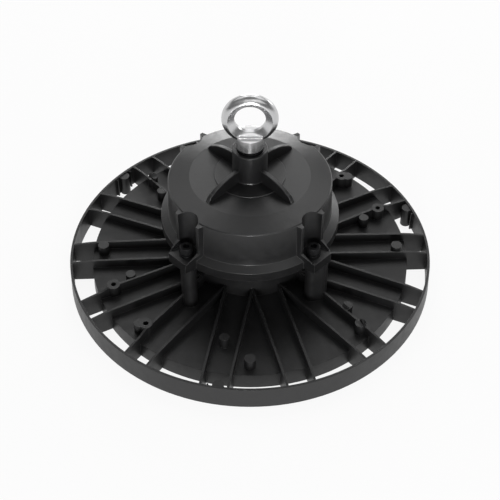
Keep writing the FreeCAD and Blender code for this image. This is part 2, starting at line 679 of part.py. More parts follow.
def drill_top(body):
    """Tapped holes in the legs and the accessory screw bosses."""
    mouth = flat(body, "leg_mouth", "housing_foot", out="screw_circle", turn="lug_angle")
    circle(mouth, "screw_radius + thread_clearance")
    hole = pad(body, "leg_hole", mouth, "leg_hole_depth", cut=True)
    repeat(body, "leg_holes", [hole], "lugs")
    holes = []
    for name, turn in SCREW_BOSSES:
        mouth = flat(body, f"screw_boss_mouth_{name}", "pin_top", out="screw_boss_circle", turn=turn)
        circle(mouth, "screw_boss_hole_radius")
        holes.append(pad(body, f"screw_boss_hole_{name}", mouth, "screw_boss_hole_depth", cut=True))
    repeat(body, "screw_boss_holes", holes, "2")


def drill_underside(body):
    """Blind tapped holes for the lens ring's, the LED board's and a reflector's screws."""
    screw_hole = "small_screw_radius + thread_clearance"
    for name, height, out, turn, radius, depth, count in (
            ("lens_screw", "ledge_height", "lens_screw_circle", "0", screw_hole,
             "lens_inset + lens_screw_length - ledge_height + thread_clearance", "lens_screws"),
            ("led_screw", "deck_roof", "inner_pin_circle", "inner_pin_angle", screw_hole,
             "led_board_foot + led_screw_length - deck_roof + thread_clearance", "inner_pins"),
            ("reflector", "0", "rim_boss_circle", "rim_boss_angle", "reflector_hole_radius",
             "reflector_hole_depth", "rim_bosses")):
        mouth = flat(body, f"{name}_mouth", height, out=out, turn=turn)
        circle(mouth, radius)
        hole = pad(body, f"{name}_hole", mouth, depth, cut=True, back=True)
        repeat(body, f"{name}_holes", [hole], count)


# Driver housing ---------------------------------------------------------------------------

def build_driver_housing():
    body = new_body("driver_housing")
    add_shell(body)
    add_dome_ribs(body)
    add_lugs(body)
    hollow_housing(body)
    cut_screw_channels(body)
    add_gland_seat(body)
    drill_housing(body)


def add_shell(body):
    """Foot, slope, wall, dome and eye bolt boss as one turned solid."""
    section = upright(body, "shell_section")
    outline(section, [
        ("0", "housing_foot"),
        ("foot_radius", "housing_foot"),
        ("foot_radius", "foot_top"),
        ("shoulder_radius", "shoulder_height"),
        ("dome_radius", "dome_edge_height - dome_edge_chamfer"),
        ("dome_radius - dome_edge_chamfer", "dome_edge_height"),
        ("crown_radius", "crown_height"),
        ("crease_radius", "crease_height"),
        ("boss_radius + boss_fillet", "crease_height", "boss_fillet", "right"),
        ("boss_radius", "crease_height + boss_fillet"),
        ("boss_radius", "boss_top - boss_chamfer"),
        ("boss_radius - boss_chamfer", "boss_top"),
        ("recess_radius", "boss_top"),
        ("recess_radius", "recess_floor"),
        ("0", "recess_floor"),
    ])
    spin(body, "shell", section)


def add_dome_ribs(body):
    """Buttress ribs from the boss out over the dome, in line with the lugs."""
    profile = upright(body, "dome_rib_profile", turn="lug_angle")
    root = "(boss_radius - boss_chamfer)"
    foot = "cavity_edge_height + housing_roof / 2"
    outline(profile, [
        (root, foot),
        ("rib_end_out", foot),
        ("rib_end_out", "crown_height - boss_chamfer", "rib_end_bend", "left"),
        ("rib_end_start_out", "rib_end_start_height"),
        ("rib_knee_out", "rib_knee_height"),
        ("rib_root_out", "rib_root_height"),
        (root, "rib_root_height"),
    ])
    rib = pad(body, "dome_rib", profile, "rib_thickness", both=True)
    repeat(body, "dome_ribs", [rib], "lugs")


def add_lugs(body):
    """Tapered lugs, full height at the wall and cut down in front to sloping cheeks."""
    plan = flat(body, "lug_plan", "housing_foot", turn="lug_angle")
    outline(plan, [
        ("lug_root_out", "0 - lug_root_half"),
        ("lug_tip_out", "0 - lug_tip_half"),
        ("lug_tip_out", "lug_tip_half"),
        ("lug_root_out", "lug_root_half"),
    ])
    lug = pad(body, "lug", plan, "dome_edge_height - dome_edge_chamfer - housing_foot")
    front = upright(body, "lug_front", turn="lug_angle")
    outline(front, [
        ("lug_face_out", "lug_cheek_height"),
        ("lug_tip_out", "lug_floor"),
        ("lug_tip_out + housing_wall", "lug_floor"),
        ("lug_tip_out + housing_wall", "dome_edge_height"),
        ("lug_face_out", "dome_edge_height"),
    ])
    cheeks = pad(body, "lug_cheeks", front, "lug_root_half * 2", cut=True, both=True)
    repeat(body, "lugs", [lug, cheeks], "lugs")


def hollow_housing(body):
    """The driver compartment, with the flange and recess for the base plate at its foot."""
    section = upright(body, "cavity_section")
    outline(section, [
        ("0", "housing_foot"),
        ("lid_radius", "housing_foot"),
        ("lid_radius", "lid_seat"),
        ("lid_flange_radius", "lid_seat"),
        ("lid_flange_radius", "lid_seat + lid_flange_height"),
        ("cavity_radius", "lid_seat + lid_flange_height"),
        ("cavity_radius", "cavity_edge_height"),
        ("crown_radius", "crown_height - housing_roof"),
        ("crease_radius", "crease_height - housing_roof"),
        ("0", "crease_height - housing_roof"),
    ])
    spin(body, "cavity", section, cut=True)


def cut_screw_channels(body):
    """Columns inside the wall, the open channels that they close off, and the screw seats."""
    outer = "(channel_radius + channel_wall)"
    half_chord = f"sqrt({outer} ^ 2 - (screw_circle - cavity_radius) ^ 2)"
    column_plan = flat(body, "column_plan", "lid_seat", turn="lug_angle")
    outline(column_plan, [
        ("cavity_radius", f"0 - {half_chord}"),
        ("cavity_radius", half_chord, outer, "left"),
        (f"screw_circle - {outer}", "0", outer, "left"),
    ])
    made = [pad(body, "column", column_plan, "dome_edge_height - housing_roof / 2 - lid_seat")]
    for name, radius, end, foot in (
            ("channel", "channel_radius", "(lug_tip_out + housing_wall)", "lug_floor"),
            ("seat", "seat_radius", "seat_end_out", "seat_height")):
        plan = flat(body, f"{name}_plan", "crown_height", turn="lug_angle")
        outline(plan, [
            ("screw_circle", f"0 - {radius}"),
            (end, f"0 - {radius}"),
            (end, radius),
            ("screw_circle", radius, radius, "left"),
            (f"screw_circle - {radius}", "0", radius, "left"),
        ])
        made.append(pad(body, name, plan, f"crown_height - {foot}", cut=True))
    hole = flat(body, "lug_hole_mouth", "lug_floor", out="screw_circle", turn="lug_angle")
    circle(hole, "screw_radius + hole_clearance")
    made.append(pad(body, "lug_hole", hole, "lug_floor - housing_foot", cut=True))
    repeat(body, "channels", made, "lugs")


def add_gland_seat(body):
    """Flat seat through the back wall, with the hole for the cable gland."""
    face = upright(body, "gland_face", aside="gland_seat_out")
    circle(face, "gland_seat_radius", y="gland_height")
    pad(body, "gland_seat", face, "gland_seat_out - gland_seat_in")
    mouth = upright(body, "gland_mouth", aside="gland_seat_out")
    circle(mouth, "gland_thread_radius", y="gland_height")
    pad(body, "gland_hole", mouth, "gland_seat_out - gland_seat_in", cut=True, back=True)


def drill_housing(body):
    """The eye bolt's tapped hole and those of the base plate's screws."""
    eye_mouth = flat(body, "eye_mouth", "recess_floor")
    circle(eye_mouth, "shank_radius + thread_clearance")
    depth = "shank_length + shank_hole_spare - (collar_foot - recess_floor)"
    pad(body, "eye_hole", eye_mouth, depth, cut=True)
    mouth = flat(body, "base_screw_mouth", "lid_seat", out="base_screw_circle", turn="base_screw_angle")
    circle(mouth, "small_screw_radius + thread_clearance")
    hole = pad(body, "base_screw_hole", mouth, "lid_flange_height", cut=True, back=True)
    repeat(body, "base_screw_holes", [hole], "base_screws")


# Fasteners --------------------------------------------------------------------------------

def build_housing_screws():
    """Socket cap screws down through the lugs into the legs."""
    body = new_body("housing_screws")
    head_top = "(head_foot + screw_head_height)"
    section = upright(body, "section", out="screw_circle", turn="lug_angle")
    outline(section, [
        ("0", "head_foot - screw_length"),
        ("screw_radius - screw_chamfer", "head_foot - screw_length"),
        ("screw_radius", "head_foot - screw_length + screw_chamfer"),
        ("screw_radius", "head_foot"),
        ("screw_head_radius", "head_foot"),
        ("screw_head_radius", f"{head_top} - screw_chamfer"),
        ("screw_head_radius - screw_chamfer", head_top),
        ("0", head_top),
    ])
    blank = spin(body, "blank", section)
    mouth = flat(body, "socket_mouth", head_top, out="screw_circle", turn="lug_angle")
    hexagon(mouth, "socket_across")
    socket = pad(body, "socket", mouth, "socket_depth", cut=True)
    repeat(body, "all", [blank, socket], "lugs")


def build_housing_washers():
    body = new_body("housing_washers")
    plan = flat(body, "plan", "seat_height", out="screw_circle", turn="lug_angle")
    circle(plan, "screw_washer_radius")
    circle(plan, "screw_radius + hole_clearance")
    washer = pad(body, "washer", plan, "screw_washer_thickness")
    repeat(body, "all", [washer], "lugs")


def build_small_screws(label, count, foot, length, out, turn="0", points_down=False):
    """Cross-recessed pan head screws on a circle; foot is the height that the heads seat at."""
    body = new_body(label)
    way = "-" if points_down else "+"
    back = "+" if points_down else "-"
    head_top = f"({foot} {back} small_head_height)"
    section = upright(body, "section", out=out, turn=turn)
    outline(section, [
        ("0", f"{foot} {way} {length}"),
        ("small_screw_radius", f"{foot} {way} {length}"),
        ("small_screw_radius", foot),
        ("small_head_radius", foot),
        ("small_head_radius", f"{head_top} {way} small_head_crown"),
        ("small_head_radius - small_head_crown", head_top),
        ("0", head_top),
    ])
    made = [spin(body, "blank", section)]
    for name, along, across in (("slot", "small_cross_length", "small_cross_width"),
                                ("cross_slot", "small_cross_width", "small_cross_length")):
        mouth = flat(body, f"{name}_mouth", head_top, out=out, turn=turn)
        box(mouth, along, across)
        made.append(pad(body, name, mouth, "small_cross_depth", cut=True, back=not points_down))
    repeat(body, "all", made, count)


def build_earth_screw():
    body = new_body("earth_screw")
    head_top = "(plate_top + earth_head_height)"
    section = upright(body, "section", out="earth_circle", turn="earth_angle")
    outline(section, [
        ("0", "housing_foot"),
        ("earth_screw_radius", "housing_foot"),
        ("earth_screw_radius", "plate_top"),
        ("earth_head_radius", "plate_top"),
        ("earth_head_radius", f"{head_top} - earth_head_crown"),
        ("earth_head_radius - earth_head_crown", head_top),
        ("0", head_top),
    ])
    spin(body, "blank", section)
    mouth = flat(body, "slot_mouth", head_top, out="earth_circle", turn="earth_angle")
    box(mouth, "earth_head_radius * 2", "small_cross_width")
    pad(body, "slot", mouth, "small_cross_depth", cut=True)


# Eye bolt ---------------------------------------------------------------------------------

def build_eye_bolt():
    body = new_body("eye_bolt")
    shank_end = "(collar_foot - shank_length)"
    stem = upright(body, "stem_section")
    outline(stem, [
        ("0", shank_end),
        ("shank_radius - eye_chamfer", shank_end),
        ("shank_radius", f"{shank_end} + eye_chamfer"),
        ("shank_radius", "collar_foot"),
        ("collar_radius - eye_chamfer", "collar_foot"),
        ("collar_radius", "collar_foot + eye_chamfer"),
        ("collar_radius", "collar_top"),
        ("0", "collar_top"),
    ])
    spin(body, "stem", stem)
    fill = flat(body, "fill_plan", "collar_top")
    box(fill, "2 * sqrt(collar_radius ^ 2 - eye_half_width ^ 2)", "2 * eye_half_width")
    pad(body, "fill", fill, "eye_fill_height - collar_top")
    rise = "(eye_radius - eye_crest_radius)"
    bend = f"(eye_half_width ^ 2 + {rise} ^ 2) / (2 * {rise})"
    ring = lengthways(body, "ring_section", "eye_height")
    outline(ring, [
        ("0 - eye_land / 2", "eye_bore"),
        ("eye_land / 2", "eye_bore"),
        ("eye_half_width", "eye_crest_radius", bend, "left"),
        ("0", "eye_radius", bend, "left"),
        ("0 - eye_half_width", "eye_crest_radius"),
    ])
    spin(body, "ring", ring, axis="H_Axis")


def build_eye_washer():
    body = new_body("eye_washer")
    plan = flat(body, "plan", "recess_floor")
    circle(plan, "eye_washer_radius")
    circle(plan, "shank_radius + hole_clearance")
    pad(body, "washer", plan, "eye_washer_thickness")


def build_eye_spring_washer():
    body = new_body("eye_spring_washer")
    plan = flat(body, "plan", "eye_spring_foot")
    circle(plan, "eye_spring_radius")
    circle(plan, "shank_radius + hole_clearance")
    pad(body, "coil", plan, "eye_spring_thickness")
    gap = flat(body, "gap_plan", "collar_foot", out="eye_spring_radius")
    box(gap, "eye_spring_radius", "eye_spring_gap")
    pad(body, "gap", gap, "eye_spring_thickness", cut=True)


# Base plate and gaskets -------------------------------------------------------------------

def build_neck_gasket():
    body = new_body("neck_gasket")
    plan = flat(body, "plan", "neck_top")
    circle(plan, "hub_radius - neck_gasket_margin")
    circle(plan, "hub_bore + neck_gasket_margin")
    pad(body, "gasket", plan, "neck_gasket_thickness")


def build_base_plate():
    body = new_body("base_plate")
    plan = flat(body, "plan", "housing_foot")
    circle(plan, "plate_radius")
    circle(plan, "grommet_hole_radius")
    earth_x, earth_y = place("earth_circle", "0", "earth_angle")
    circle(plan, "earth_screw_radius + thread_clearance", x=earth_x, y=earth_y)
    pad(body, "plate", plan, "base_plate_thickness")
    for name, radius, out, turn, count in (
            ("screw", "small_screw_radius + hole_clearance", "base_screw_circle", "base_screw_angle",
             "base_screws"),
            ("stud", "standoff_stud_radius", "standoff_circle", "0", "standoffs")):
        mouth = flat(body, f"{name}_mouth", "plate_top", out=out, turn=turn)
        circle(mouth, radius)
        hole = pad(body, f"{name}_hole", mouth, "base_plate_thickness", cut=True)
        repeat(body, f"{name}_holes", [hole], count)


def build_base_plate_gasket():
    body = new_body("base_plate_gasket")
    plan = flat(body, "plan", "plate_top")
    circle(plan, "plate_radius")
    circle(plan, "lid_flange_radius")
    pad(body, "gasket", plan, "base_gasket_thickness")
    mouth = flat(body, "mouth", "lid_seat", out="base_screw_circle", turn="base_screw_angle")
    circle(mouth, "small_screw_radius + hole_clearance")
    hole = pad(body, "hole", mouth, "base_gasket_thickness", cut=True)
    repeat(body, "holes", [hole], "base_screws")


def build_insulating_sheet():
    body = new_body("insulating_sheet")
    plan = flat(body, "plan", "plate_top")
    circle(plan, "sheet_radius")
    circle(plan, "grommet_hole_radius + grommet_lip + fit_clearance")
    earth_x, earth_y = place("earth_circle", "0", "earth_angle")
    circle(plan, "earth_head_radius + fit_clearance", x=earth_x, y=earth_y)
    pad(body, "film", plan, "sheet_thickness")
    mouth = flat(body, "mouth", "plate_top + sheet_thickness", out="standoff_circle")
    circle(mouth, "standoff_radius + fit_clearance")
    hole = pad(body, "hole", mouth, "sheet_thickness", cut=True)
    repeat(body, "holes", [hole], "standoffs")


def build_lead_grommet():
    """Rubber grommet with a lip on each side of the base plate."""
    body = new_body("lead_grommet")
    lip = "(grommet_hole_radius + grommet_lip)"
    section = upright(body, "section")
    outline(section, [
        ("grommet_bore", "housing_foot - grommet_lip_thickness"),
        (lip, "housing_foot - grommet_lip_thickness"),
        (lip, "housing_foot"),
        ("grommet_hole_radius", "housing_foot"),
        ("grommet_hole_radius", "plate_top"),
        (lip, "plate_top"),
        (lip, "plate_top + grommet_lip_thickness"),
        ("grommet_bore", "plate_top + grommet_lip_thickness"),
    ])
    spin(body, "grommet", section)


# Driver board -----------------------------------------------------------------------------

def build_board_standoffs():
    body = new_body("board_standoffs")
    section = upright(body, "section", out="standoff_circle")
    bore = "small_screw_radius + thread_clearance"
    outline(section, [
        (bore, "housing_foot"),
        ("standoff_stud_radius", "housing_foot"),
        ("standoff_stud_radius", "plate_top"),
        ("standoff_radius", "plate_top"),
        ("standoff_radius", "board_foot"),
        (bore, "board_foot"),
    ])
    post = spin(body, "post", section)
    repeat(body, "all", [post], "standoffs")


def build_driver_board():
    body = new_body("driver_board")
    plan = flat(body, "plan", "board_foot")
    circle(plan, "board_radius")
    for side in ("+", "-"):
        circle(plan, "lead_radius", x=f"0 {side} lead_spacing / 2")
    pad(body, "board", plan, "board_thickness")
    mouth = flat(body, "mouth", "board_top", out="standoff_circle")
    circle(mouth, "small_screw_radius + hole_clearance")
    hole = pad(body, "hole", mouth, "board_thickness", cut=True)
    repeat(body, "holes", [hole], "standoffs")


def build_transformer():
    """E core with its two windows filled by the wound bobbin."""
    body = new_body("transformer")
    core = flat(body, "core_plan", "board_top", out="transformer_x", aside="transformer_y")
    box(core, "core_length", "core_width")
    pad(body, "core", core, "core_height")
    winding = flat(body, "winding_plan", "board_top + (core_height - core_window_height) / 2",
                   out="transformer_x", aside="transformer_y")
    box(winding, "core_window", "winding_width")
    pad(body, "winding", winding, "core_window_height")


def build_filter_choke():
    body = new_body("filter_choke")
    section = upright(body, "section", out="choke_circle", turn="choke_angle")
    middle = "(board_top + choke_wire_radius)"
    circle(section, "choke_wire_radius", x="choke_ring_radius", y=middle)
    spin(body, "ring", section)


def build_capacitors():
    body = new_body("capacitors")
    top = "(board_top + capacitor_height)"
    section = upright(body, "section", out="capacitor_circle", turn="capacitor_angle")
    outline(section, [
        ("0", "board_top"),
        ("capacitor_radius", "board_top"),
        ("capacitor_radius", f"{top} - capacitor_chamfer"),
        ("capacitor_radius - capacitor_chamfer", top),
        ("0", top),
    ])
    can = spin(body, "can", section)
    step = "2 * asin((capacitor_radius + capacitor_gap / 2) / capacitor_circle)"
    repeat(body, "all", [can], "capacitors", step)


def build_mains_terminal():
    """Block with three ways: wire entries in front and clamp openings on top."""
    body = new_body("mains_terminal")
    plan = flat(body, "plan", "board_top", out="terminal_x", aside="terminal_y")
    box(plan, "terminal_length", "terminal_width")
    pad(body, "block", plan, "terminal_height")
    front = upright(body, "entry_face", out="terminal_x", aside="terminal_y + terminal_width / 2")
    top = flat(body, "clamp_face", "board_top + terminal_height", out="terminal_x", aside="terminal_y")
    for way in (-1, 0, 1):
        circle(front, "terminal_way_radius", x=f"{way} * terminal_pitch", y="board_top + terminal_way_height")
        circle(top, "terminal_way_radius", x=f"{way} * terminal_pitch")
    pad(body, "entries", front, "terminal_way_depth", cut=True, back=True)
    pad(body, "clamps", top, "terminal_way_depth", cut=True)


def build_output_leads():
    """Two leads from the driver board, down the hub, to the LED board."""
    body = new_body("output_leads")
    plan = flat(body, "plan", "led_board_foot")
    for side in ("+", "-"):
        circle(plan, "lead_radius", x=f"0 {side} lead_spacing / 2")
    pad(body, "leads", plan, "board_top - led_board_foot")


# Cable gland ------------------------------------------------------------------------------

def build_cable_gland():
    """Gland body through the back wall: hexagon outside, thread inside, stub for the cap."""
    body = new_body("cable_gland")
    thread_length = "(gland_seat_out - gland_seat_in + gland_nut_thickness + gland_thread_spare)"
    stub_end = "(gland_seat_out + gland_hex_length + gland_stub_length)"
    seat = upright(body, "seat_face", aside="gland_seat_out")
    hexagon(seat, "gland_hex_across", y="gland_height")
    pad(body, "hexagon", seat, "gland_hex_length", back=True)
    thread = upright(body, "thread_end", aside="gland_seat_out")
    circle(thread, "gland_thread_radius - thread_clearance", y="gland_height")
    pad(body, "thread", thread, thread_length)
    stub = upright(body, "stub_end", aside=stub_end)
    circle(stub, "gland_stub_radius", y="gland_height")
    pad(body, "stub", stub, "gland_stub_length")
    bore = upright(body, "bore_mouth", aside=stub_end)
    circle(bore, "gland_bore", y="gland_height")
    pad(body, "bore", bore, f"{stub_end} - gland_seat_out + {thread_length}", cut=True, back=True)


def build_gland_seal():
    body = new_body("gland_seal")
    section = lengthways(body, "section", "gland_height")
    outer = "gland_bore - gland_seal_clearance"
    outline(section, [
        ("gland_seal_start", "gland_seal_bore"),
        ("gland_seal_stop", "gland_seal_bore"),
        ("gland_seal_stop", outer),
        ("gland_seal_start", outer),
    ])
    spin(body, "sleeve", section, axis="H_Axis")


def build_gland_cap():
    """Clamping cap: hexagonal grip with a rounded nose."""
    body = new_body("gland_cap")
    end = "gland_cap_stop"
    grip = upright(body, "grip_face", aside="gland_cap_start")
    hexagon(grip, "gland_hex_across", y="gland_height")
    pad(body, "grip", grip, f"{end} - gland_cap_nose - gland_cap_start", back=True)
    nose = lengthways(body, "nose_section", "gland_height")
    outline(nose, [
        (f"{end} - gland_cap_nose * 2", "gland_cap_hole"),
        (end, "gland_cap_hole"),
        (end, "gland_cap_nose_radius"),
        (f"{end} - gland_cap_nose", "gland_hex_across / 2"),
        (f"{end} - gland_cap_nose * 2", "gland_hex_across / 2"),
    ])
    spin(body, "nose", nose, axis="H_Axis")
    bores = lengthways(body, "bore_section", "gland_height")
    inside = "(gland_stub_radius + thread_clearance)"
    outline(bores, [
        ("gland_cap_start - fit_clearance", "0"),
        (f"{end} + fit_clearance", "0"),
        (f"{end} + fit_clearance", "gland_cap_hole"),
        (f"{end} - gland_cap_end", "gland_cap_hole"),
        (f"{end} - gland_cap_end", inside),
        ("gland_cap_start - fit_clearance", inside),
    ])
    spin(body, "bores", bores, cut=True, axis="H_Axis")


def build_gland_nut():
    body = new_body("gland_nut")
    face = upright(body, "face", aside="gland_seat_in")
    hexagon(face, "gland_nut_across", y="gland_height")
    circle(face, "gland_thread_radius", y="gland_height")
    pad(body, "nut", face, "gland_nut_thickness")


# LED compartment --------------------------------------------------------------------------

def build_led_disc(label, foot, thickness, centre_hole=None):
    """A disc under the deck, with the LED board's screw holes."""
    body = new_body(label)
    plan = flat(body, "plan", foot)
    circle(plan, "led_board_radius")
    if centre_hole:
        circle(plan, centre_hole)
    else:
        for side in ("+", "-"):
            circle(plan, "lead_radius", x=f"0 {side} lead_spacing / 2")
    pad(body, "disc", plan, thickness)
    mouth = flat(body, "mouth", foot, out="inner_pin_circle", turn="inner_pin_angle")
    circle(mouth, "small_screw_radius + hole_clearance")
    hole = pad(body, "hole", mouth, thickness, cut=True, back=True)
    repeat(body, "holes", [hole], "inner_pins")


def build_led_packages():
    """Rings of square LED packages on the underside of the LED board."""
    body = new_body("led_packages")
    for ring in range(round(number("led_rings"))):
        plan = flat(body, f"plan_{ring}", "led_board_foot - led_height",
                    out=f"led_first_ring + {ring} * led_ring_step")
        box(plan, "led_side", "led_side")
        package = pad(body, f"package_{ring}", plan, "led_height")
        repeat(body, f"ring_{ring}", [package], f"led_first_count + {ring} * led_count_step")


def build_lens_piece(label, foot, thickness, inner_radius=None):
    """A disc or ring in the lens recess, with the lens ring's screw holes."""
    body = new_body(label)
    plan = flat(body, "plan", foot)
    circle(plan, "lens_radius")
    if inner_radius:
        circle(plan, inner_radius)
    pad(body, "disc", plan, thickness)
    mouth = flat(body, "mouth", foot, out="lens_screw_circle")
    circle(mouth, "small_screw_radius + hole_clearance")
    hole = pad(body, "hole", mouth, thickness, cut=True, back=True)
    repeat(body, "holes", [hole], "lens_screws")


# Assembly ---------------------------------------------------------------------------------

build_heat_sink()
build_driver_housing()
build_housing_screws()
build_housing_washers()
build_eye_bolt()
build_eye_washer()
build_eye_spring_washer()
build_neck_gasket()
build_base_plate()
build_base_plate_gasket()
build_small_screws("base_plate_screws", "base_screws", "housing_foot", "base_screw_length",
                   "base_screw_circle", "base_screw_angle")
build_insulating_sheet()
build_lead_grommet()
build_board_standoffs()
build_driver_board()
build_small_screws("board_screws", "standoffs", "board_top", "board_screw_length", "standoff_circle",
                   points_down=True)
build_transformer()
build_filter_choke()
build_capacitors()
build_mains_terminal()
build_earth_screw()
build_output_leads()
build_cable_gland()
build_gland_seal()
build_gland_cap()
build_gland_nut()
build_led_disc("thermal_pad", "led_board_top", "thermal_pad_thickness", "lead_hole_radius")
build_led_disc("led_board", "led_board_foot", "led_board_thickness")
build_led_packages()
build_small_screws("led_board_screws", "inner_pins", "led_board_foot", "led_screw_length",
                   "inner_pin_circle", "inner_pin_angle")
build_lens_piece("lens_gasket", "lens_top", "lens_gasket_thickness", "ledge_radius")
build_lens_piece("lens_plate", "lens_foot", "lens_thickness")
build_lens_piece("lens_ring", "lens_inset", "lens_ring_thickness", "lens_radius - lens_ring_width")
build_small_screws("lens_ring_screws", "lens_screws", "lens_inset", "lens_screw_length", "lens_screw_circle")

bodies = [item for item in document.Objects if item.TypeId == "PartDesign::Body"]
for body in bodies:
    body.Tip.Refine = True
document.recompute()

failed = [item.Label for item in document.Objects if {"Invalid", "Error"} & set(item.State)]
if failed:
    raise RuntimeError("these features failed: " + ", ".join(failed))

for body in bodies:
    if body.Shape.isNull() or not body.Shape.isValid() or not body.Shape.Solids:
        raise RuntimeError(f"{body.Label} has no valid solid")

os.makedirs(PARTS_FOLDER, exist_ok=True)
for body in bodies:
    body.Shape.exportStep(os.path.join(PARTS_FOLDER, body.Label + ".step"))
    print(f"{body.Label}: {len(body.Shape.Solids)} solids, {body.Shape.Volume:.0f} mm3")
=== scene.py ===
import math

import bmesh
import bpy
from bpy.props import FloatProperty, FloatVectorProperty, IntProperty, PointerProperty
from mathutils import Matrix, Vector


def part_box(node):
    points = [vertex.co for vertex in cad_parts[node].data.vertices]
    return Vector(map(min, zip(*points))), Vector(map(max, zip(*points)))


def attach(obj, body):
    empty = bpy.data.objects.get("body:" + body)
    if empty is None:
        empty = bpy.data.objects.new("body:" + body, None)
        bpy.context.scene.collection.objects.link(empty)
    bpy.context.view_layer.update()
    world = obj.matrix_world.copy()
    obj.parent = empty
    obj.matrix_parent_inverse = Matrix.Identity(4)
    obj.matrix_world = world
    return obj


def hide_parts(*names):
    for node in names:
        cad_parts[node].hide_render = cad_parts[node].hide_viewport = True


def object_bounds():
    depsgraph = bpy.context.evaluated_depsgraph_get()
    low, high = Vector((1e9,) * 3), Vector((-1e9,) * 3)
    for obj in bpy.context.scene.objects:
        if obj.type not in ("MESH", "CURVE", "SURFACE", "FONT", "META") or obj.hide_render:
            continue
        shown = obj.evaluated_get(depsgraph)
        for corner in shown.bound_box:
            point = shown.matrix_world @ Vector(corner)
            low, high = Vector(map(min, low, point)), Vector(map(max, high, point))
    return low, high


bl_info = {
    "name": "High Bay Light Finishes",
    "version": (1, 0, 0),
    "blender": (4, 5, 0),
    "location": "View3D > Sidebar > High Bay",
    "description": "Dresses a finned high bay light: coated castings, steel, electronics and stage",
    "category": "Object",
}

SENSOR_WIDTH = 36

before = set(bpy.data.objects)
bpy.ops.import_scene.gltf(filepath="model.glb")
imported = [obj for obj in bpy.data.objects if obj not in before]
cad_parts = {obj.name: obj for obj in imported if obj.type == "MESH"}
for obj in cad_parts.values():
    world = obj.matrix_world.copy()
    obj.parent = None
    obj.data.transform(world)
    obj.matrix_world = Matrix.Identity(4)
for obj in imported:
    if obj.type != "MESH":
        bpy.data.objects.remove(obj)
FRAME_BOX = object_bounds()


# Settings ---------------------------------------------------------------------------------

def colour(name, description, default):
    return FloatVectorProperty(name=name, description=description, default=default,
                               subtype="COLOR", size=3, min=0, max=1)


def length(name, description, default):
    return FloatProperty(name=name, description=description, default=default, unit="LENGTH",
                         precision=5)


def share(name, description, default):
    return FloatProperty(name=name, description=description, default=default, subtype="FACTOR",
                         min=0, max=1)


def direction(name, description, degrees):
    return FloatProperty(name=name, description=description, default=math.radians(degrees),
                         subtype="ANGLE", unit="ROTATION")


def lamp_power(name, description, default):
    return FloatProperty(name=name, description=description, default=default, unit="POWER", min=0)


class HighBayCoating(bpy.types.PropertyGroup):
    """The powder coat on the two castings."""
    sink_colour: colour("Heat sink colour", "Colour of the heat sink's coat",
                        (0.006, 0.006, 0.0063))
    housing_colour: colour("Housing colour", "Colour of the driver housing's coat",
                           (0.006, 0.006, 0.0063))
    sink_roughness: share("Heat sink roughness", "Roughness of the heat sink's coat", 0.44)
    housing_roughness: share("Housing roughness", "Roughness of the housing's coat", 0.33)
    sink_sheen: share("Heat sink sheen", "How strongly the heat sink mirrors its surroundings",
                      0.5)
    housing_sheen: share("Housing sheen", "How strongly the housing mirrors its surroundings",
                         0.6)
    grain_size: length("Grain size", "Width of the coat's fine bumps", 0.0007)
    grain_height: length("Grain height", "Height of the coat's fine bumps", 0.00003)
    cloud_size: length("Cloud size", "Width of the soft patches in the coat's sheen", 0.02)
    edge_radius: length("Edge radius", "Rounding of the castings' edges under the coat", 0.00035)
    # Painted highlight: these two settings paint the castings' edges lighter than the coat.
    sink_edge_highlight: share("Heat sink painted edge highlight", "How much lighter the heat sink's edges are",
                          0.01)
    housing_edge_highlight: share("Housing painted edge highlight", "How much lighter the housing's edges are",
                             0.08)


class HighBayMetals(bpy.types.PropertyGroup):
    """Steel, aluminium and their platings."""
    eye_colour: colour("Eye colour", "Colour of the lifting eye's plating", (0.56, 0.56, 0.565))
    eye_roughness: share("Eye roughness", "Roughness of the lifting eye's plating", 0.24)
    zinc_colour: colour("Zinc colour", "Colour of zinc-plated screws", (0.60, 0.61, 0.63))
    zinc_roughness: share("Zinc roughness", "Roughness of zinc-plated screws", 0.30)
    oxide_colour: colour("Black oxide colour", "Colour of blackened steel", (0.014, 0.014, 0.015))
    oxide_roughness: share("Black oxide roughness", "Roughness of blackened steel", 0.48)
    sheet_colour: colour("Sheet aluminium colour", "Colour of the base plate",
                         (0.68, 0.69, 0.70))
    edge_radius: length("Edge radius", "Rounding of the edges of steel pieces", 0.0002)


class HighBayPlastics(bpy.types.PropertyGroup):
    """Plastics, rubber and electronics."""
    nylon_colour: colour("Nylon colour", "Colour of the cable gland", (0.018, 0.018, 0.019))
    rubber_colour: colour("Rubber colour", "Colour of the black rubber", (0.015, 0.015, 0.015))
    gasket_colour: colour("Gasket colour", "Colour of the silicone gaskets", (0.42, 0.43, 0.44))
    lens_colour: colour("Lens colour", "Tint of the lens plate", (0.96, 0.975, 0.98))
    mask_colour: colour("White mask colour", "Colour of the LED board's solder mask",
                        (0.82, 0.83, 0.82))
    resin_colour: colour("Package colour", "Colour of the LED packages' bodies",
                         (0.80, 0.79, 0.76))
    phosphor_colour: colour("Phosphor colour", "Colour of the LED packages' windows",
                            (0.85, 0.62, 0.10))
    board_colour: colour("Board colour", "Colour of the driver board", (0.015, 0.11, 0.035))
    ferrite_colour: colour("Ferrite colour", "Colour of the transformer's core",
                           (0.035, 0.034, 0.036))
    tape_colour: colour("Tape colour", "Colour of the tape round the transformer's winding",
                        (0.62, 0.40, 0.03))
    copper_colour: colour("Copper colour", "Colour of the choke's enamelled wire",
                          (0.50, 0.16, 0.05))
    sleeve_colour: colour("Sleeve colour", "Colour of the capacitors' sleeves",
                          (0.010, 0.014, 0.05))
    terminal_colour: colour("Terminal colour", "Colour of the mains terminal",
                            (0.62, 0.62, 0.58))
    lead_colour: colour("Lead colour", "Colour of the output leads", (0.45, 0.02, 0.015))
    film_colour: colour("Film colour", "Colour of the insulating sheet", (0.70, 0.68, 0.58))
    pad_colour: colour("Thermal pad colour", "Colour of the thermal pad", (0.40, 0.45, 0.55))


